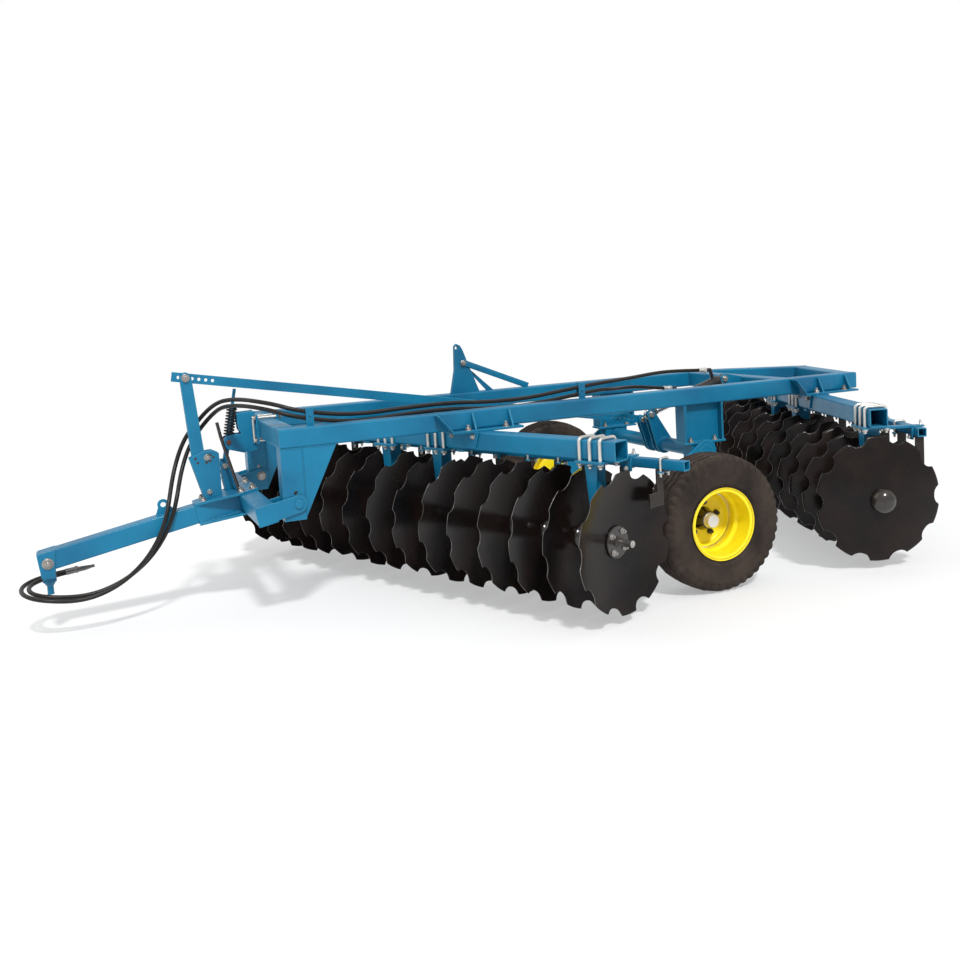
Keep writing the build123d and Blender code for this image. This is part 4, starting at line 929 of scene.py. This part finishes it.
def addArm(bars, rods, s, top):
    # a plate under the beam, an upright at the tube's front, a cap over the tube and their bolts
    t, z, half, a = bar["t"], bar["z"], bar["half"], arm["half"]
    front, under, cap = t - half, top - arm["thick"], z + half + arm["cap"]
    addPlate(bars, (s - a, -beam["half"], under), (s + a, front, top), arm["edge"])
    addPlate(bars, (s - a, front - arm["upright"], z - arm["drop"]), (s + a, front, under), arm["edge"])
    addPlate(bars, (s - a, front, z + half), (s + a, t + half + arm["reach"], cap), arm["edge"])
    addBolt(rods, (s, t + half + arm["boltOut"], cap), (0, 0, 1), arm["bolt"], arm["boltEnd"])
    rod, bend = armHook["rod"], armHook["bend"]
    legs = half + rod + 1
    face = front - arm["upright"]
    run = half * 2 + arm["upright"] + armHook["out"] + rod + 1 - bend
    bentRod(rods, (s, face - armHook["out"], z - legs), (0, 1, 0),
            [run, ((1, 0, 0), 90, bend), legs + armHook["tip"] - bend], rod, armHook["sides"])
    addWasher(rods, (s, face, z - legs), (0, -1, 0), armHook["washer"], armHook["washerHigh"])
    addNut(rods, (s, face - armHook["washerHigh"], z - legs), (0, -1, 0), armHook["nut"], armHook["nutHigh"])


def addScraperClamp(bars, rods, s):
    t, z, half = bar["t"], bar["z"], bar["half"]
    rod, bend, wide = grip["rod"], grip["bend"], grip["plateHalf"]
    low = z - half - grip["plateFrom"]
    out = half + grip["plateOut"]
    addPlate(bars, (s - wide, t - out, low), (s + wide, t + out, z - half - grip["plateTo"]), grip["edge"])
    reach = half + rod + 1
    run = 2 * half + grip["below"] + rod + 1 - bend
    corner = (*quarter, bend)
    bentRod(rods, (s, t - reach, z - half - grip["below"]), (0, 0, 1),
            [run, corner, 2 * (reach - bend), corner, run], rod, grip["sides"])
    for dt in (-reach, reach):
        addNut(rods, (s, t + dt, low), (0, 0, -1), grip["nut"], grip["nutHigh"])


def makeScraperBars():
    bars, rods = bmesh.new(), bmesh.new()
    for name, gang in gangs:
        arms = barArms[name]
        oneBars, oneRods = bmesh.new(), bmesh.new()
        addScraperTube(oneBars, *barEnds[name])
        for s in arms:
            # only the outer arm lies under a hanger's plate
            addArm(oneBars, oneRods, s, beam["padLow"] if s == arms[0] else beam["low"])
        for k in range(disc["count"]):
            s = discAlong(k) - gang["bowl"] * grip["offset"]
            if min(abs(s - spot) for spot in arms) >= grip["clear"]:
                addScraperClamp(oneBars, oneRods, s)
        for whole, part in ((bars, oneBars), (rods, oneRods)):
            mesh = meshFrom(part, "part")
            addCopy(whole, mesh, gangPlace(gang))
            bpy.data.meshes.remove(mesh)
    finishPiece(bars, "scraperBars", "frame", "frame_blue", node="scraper_bars")
    finishPiece(rods, "scraperBolts", "frame", "zinc")


makeScraperBars()

# the mast's long brace, a flat bar down to the frame's right tube
brace = {"x": -529, "high": (1440, 1178), "low": (1905, 985), "thick": 8, "wide": 40, "edge": 1.5}


def makeBrace():
    bm = bmesh.new()
    high, low = Vector((brace["x"], *brace["high"])), Vector((brace["x"], *brace["low"]))
    run = low - high
    place = shifted((low + high) / 2) @ Matrix.Rotation(atan2(run.z, run.y), 4, "X")
    addBox(bm, place, (brace["thick"], run.length, brace["wide"]))
    ops.bevel(bm, geom=bm.edges[:], offset=brace["edge"], segments=2, **plateBevel)
    finishPiece(bm, "mastBrace", "frame", "frame_blue")


makeBrace()

# fittings at the rear ends of the hoses, each part from and to a distance along the hose, with its radius
# and sides, and the cone above the hitch's stub with the stub's collar
fitting = {"hexagon": (-12, 5, 18.5, 6), "ferrule": (5, 46, 14.6), "ridge": (12, 16, 16.2)}
cone = {"low": 214, "high": 237, "r": 17, "top": 32, "sides": 28, "collar": (170, 176)}


def makeFittings():
    bm = bmesh.new()
    for data in hoses.values():
        start, after = (Vector(p) for p in data["route"][:2])
        along = (after - start).normalized()
        for part in fitting.values():
            addStep(bm, start, along, *part)
    finishPiece(bm, "hoseFittings", "frame", "zinc")


def makeHitchCone():
    bm = bmesh.new()
    y = (drawbarPlace @ Vector((0, *hitchSpot))).y
    r, sides = cone["r"], cone["sides"]
    low, high = cone["collar"]
    addRod(bm, (0, y, cone["low"]), (0, y, cone["high"]), r, sides, cone["top"])
    addRod(bm, (0, y, low), (0, y, high), r, sides)
    finishPiece(bm, "hitchCone", "hitch", "frame_blue")


makeFittings()
makeHitchCone()

# weld beads: runs of small overlapping domes along the frame's joints
bead = {"r": 3.6, "step": 7, "waves": ((0.18, 2.3), (0.1, 5.1)), "sharp": 80}
tubeSides = {"outer": 598, "inner": 494}
legWelds = [((side * x, y0, z0), (side * x, y1, z1))
            for side in (-1, 1) for x in tubeSides.values()
            for (y0, z0), (y1, z1) in (((2, 876), (290, 876)), ((113, 868), (113, 520)))]
cornerWelds = [((side * tubeSides["inner"], 0, 978), (side * tubeSides["inner"], tube["wide"], 978))
               for side in (-1, 1)]
crossWelds = [((side * tubeSides["inner"], y, 880), (side * tubeSides["inner"], y, 972))
              for side in (-1, 1) for y in (103, 3179, 3283)]
boxWelds = [((side * tubeSides["outer"], y, 648), (side * tubeSides["outer"], y, 872))
            for side in (-1, 1) for y in (2443, 2697)]


def makeWelds(runs):
    bm = bmesh.new()
    for a, b in runs:
        a, b = Vector(a), Vector(b)
        count = int((b - a).length / bead["step"])
        for k in range(count + 1):
            wide = bead["r"] * (1 + sum(share * sin(k * wave) for share, wave in bead["waves"]))
            ops.create_icosphere(bm, subdivisions=1, radius=wide, matrix=shifted(a.lerp(b, k / count)))
    finishPiece(bm, "frameWelds", "frame", "frame_blue", sharp=bead["sharp"])


makeWelds(legWelds + cornerWelds + crossWelds + boxWelds)
print("fasteners set")

# spring: the coil between the trunnion and the clevis
coil = {"x": -72, "trunnion": (-165, 866), "clevis": (-192, 734), "low": 34, "high": 196,
        "radius": 24.5, "wire": 5.5, "sides": 12, "turns": 9, "steps": 24, "sharp": 60, "keep": 0.83}


def makeSpring():
    low = Vector((coil["x"], *coil["clevis"]))
    base = Vector((coil["x"], *coil["trunnion"]))
    along = (base - low).normalized()
    wire, start = coil["wire"], base + along * coil["low"]
    bm = bmesh.new()
    long = coil["high"] - coil["low"] - 2 * wire
    ring = ops.create_circle(bm, cap_ends=True, segments=coil["sides"], radius=wire,
                                   matrix=shifted((coil["radius"], 0, wire)) @ turnTo((0, 1, 0)))
    steps = int(coil["turns"] * coil["steps"])
    made = ops.spin(bm, geom=edgesOf(ring["verts"]) + ring["verts"], cent=(0, 0, 0), axis=(0, 0, 1),
                          angle=2 * pi * coil["turns"], steps=steps, dvec=(0, 0, long / steps),
                          use_duplicate=False)
    ops.edgeloop_fill(bm, edges=newEdges(made["geom_last"]))
    place = shifted(start) @ turnTo(along)
    piece = finishPiece(bm, "springCoil", "spring_trunnion", "spring_black", place, sharp=coil["sharp"],
                        node="spring")
    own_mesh(piece)


makeSpring()

# floor, backdrop and lights; the floor turns to plain white away from the machine
ground = {"size": 60, "colour": (0.86, 0.86, 0.86, 1), "rough": 0.8, "gleam": 0.1,
          "fade": (2.6, 7.5, 0.35, 1)}
white = (1, 1, 1, 1)
sky = {"lights": 0.72, "seen": 1}
lamps = (("sun", {"energy": 2.3, "angle": 6, "turn": (38, 18, 62)}),
         ("fill", {"energy": 0.5, "angle": 60, "turn": (60, 0, -40)}))


def floorMaterial():
    material, tree, shader = newMaterial("floorWhite")
    setInputs(shader, {"Base Color": ground["colour"], "Roughness": ground["rough"],
                       "Specular IOR Level": ground["gleam"]})
    place = nodeIn(tree, "TexCoord")
    far = nodeIn(tree, "VectorMath", operation="LENGTH")
    tree.links.new(place.outputs["Object"], far.inputs[0])
    glow = nodeIn(tree, "Emission")
    setInputs(glow, {"Color": white})
    rays = nodeIn(tree, "LightPath")
    seen = combined(tree, rays.outputs["Is Camera Ray"], rays.outputs["Is Glossy Ray"], "MAXIMUM")
    factor = combined(tree, between(tree, far.outputs["Value"], *ground["fade"]), seen)
    blend = nodeIn(tree, "MixShader")
    tree.links.new(factor, blend.inputs[0])
    tree.links.new(shader.outputs["BSDF"], blend.inputs[1])
    tree.links.new(glow.outputs["Emission"], blend.inputs[2])
    tree.links.new(blend.outputs["Shader"], tree.nodes["Material Output"].inputs["Surface"])
    return material


def makeFloor():
    bm = bmesh.new()
    ops.create_grid(bm, x_segments=2, y_segments=2, size=ground["size"])
    floor = newObject("floor", meshFrom(bm, "floor"))
    floor.data.materials.append(floorMaterial())


def makeLights():
    world = bpy.data.worlds.new("studio")
    world.use_nodes = True
    bpy.context.scene.world = world
    tree = world.node_tree
    background = tree.nodes["Background"]
    rays = nodeIn(tree, "LightPath")
    seen = combined(tree, rays.outputs["Is Camera Ray"], rays.outputs["Is Transmission Ray"], "MAXIMUM")
    strength = between(tree, seen, 0, 1, sky["lights"], sky["seen"])
    tree.links.new(strength, background.inputs["Strength"])
    setInputs(background, {"Color": white})
    for name, values in lamps:
        data = bpy.data.lights.new(name, "SUN")
        data.energy = values["energy"]
        data.angle = radians(values["angle"])
        newObject(name, data).rotation_euler = tuple(radians(a) for a in values["turn"])


makeFloor()
makeLights()
print("floor and lights set")

bpy.context.scene.view_settings.view_transform = "Standard"
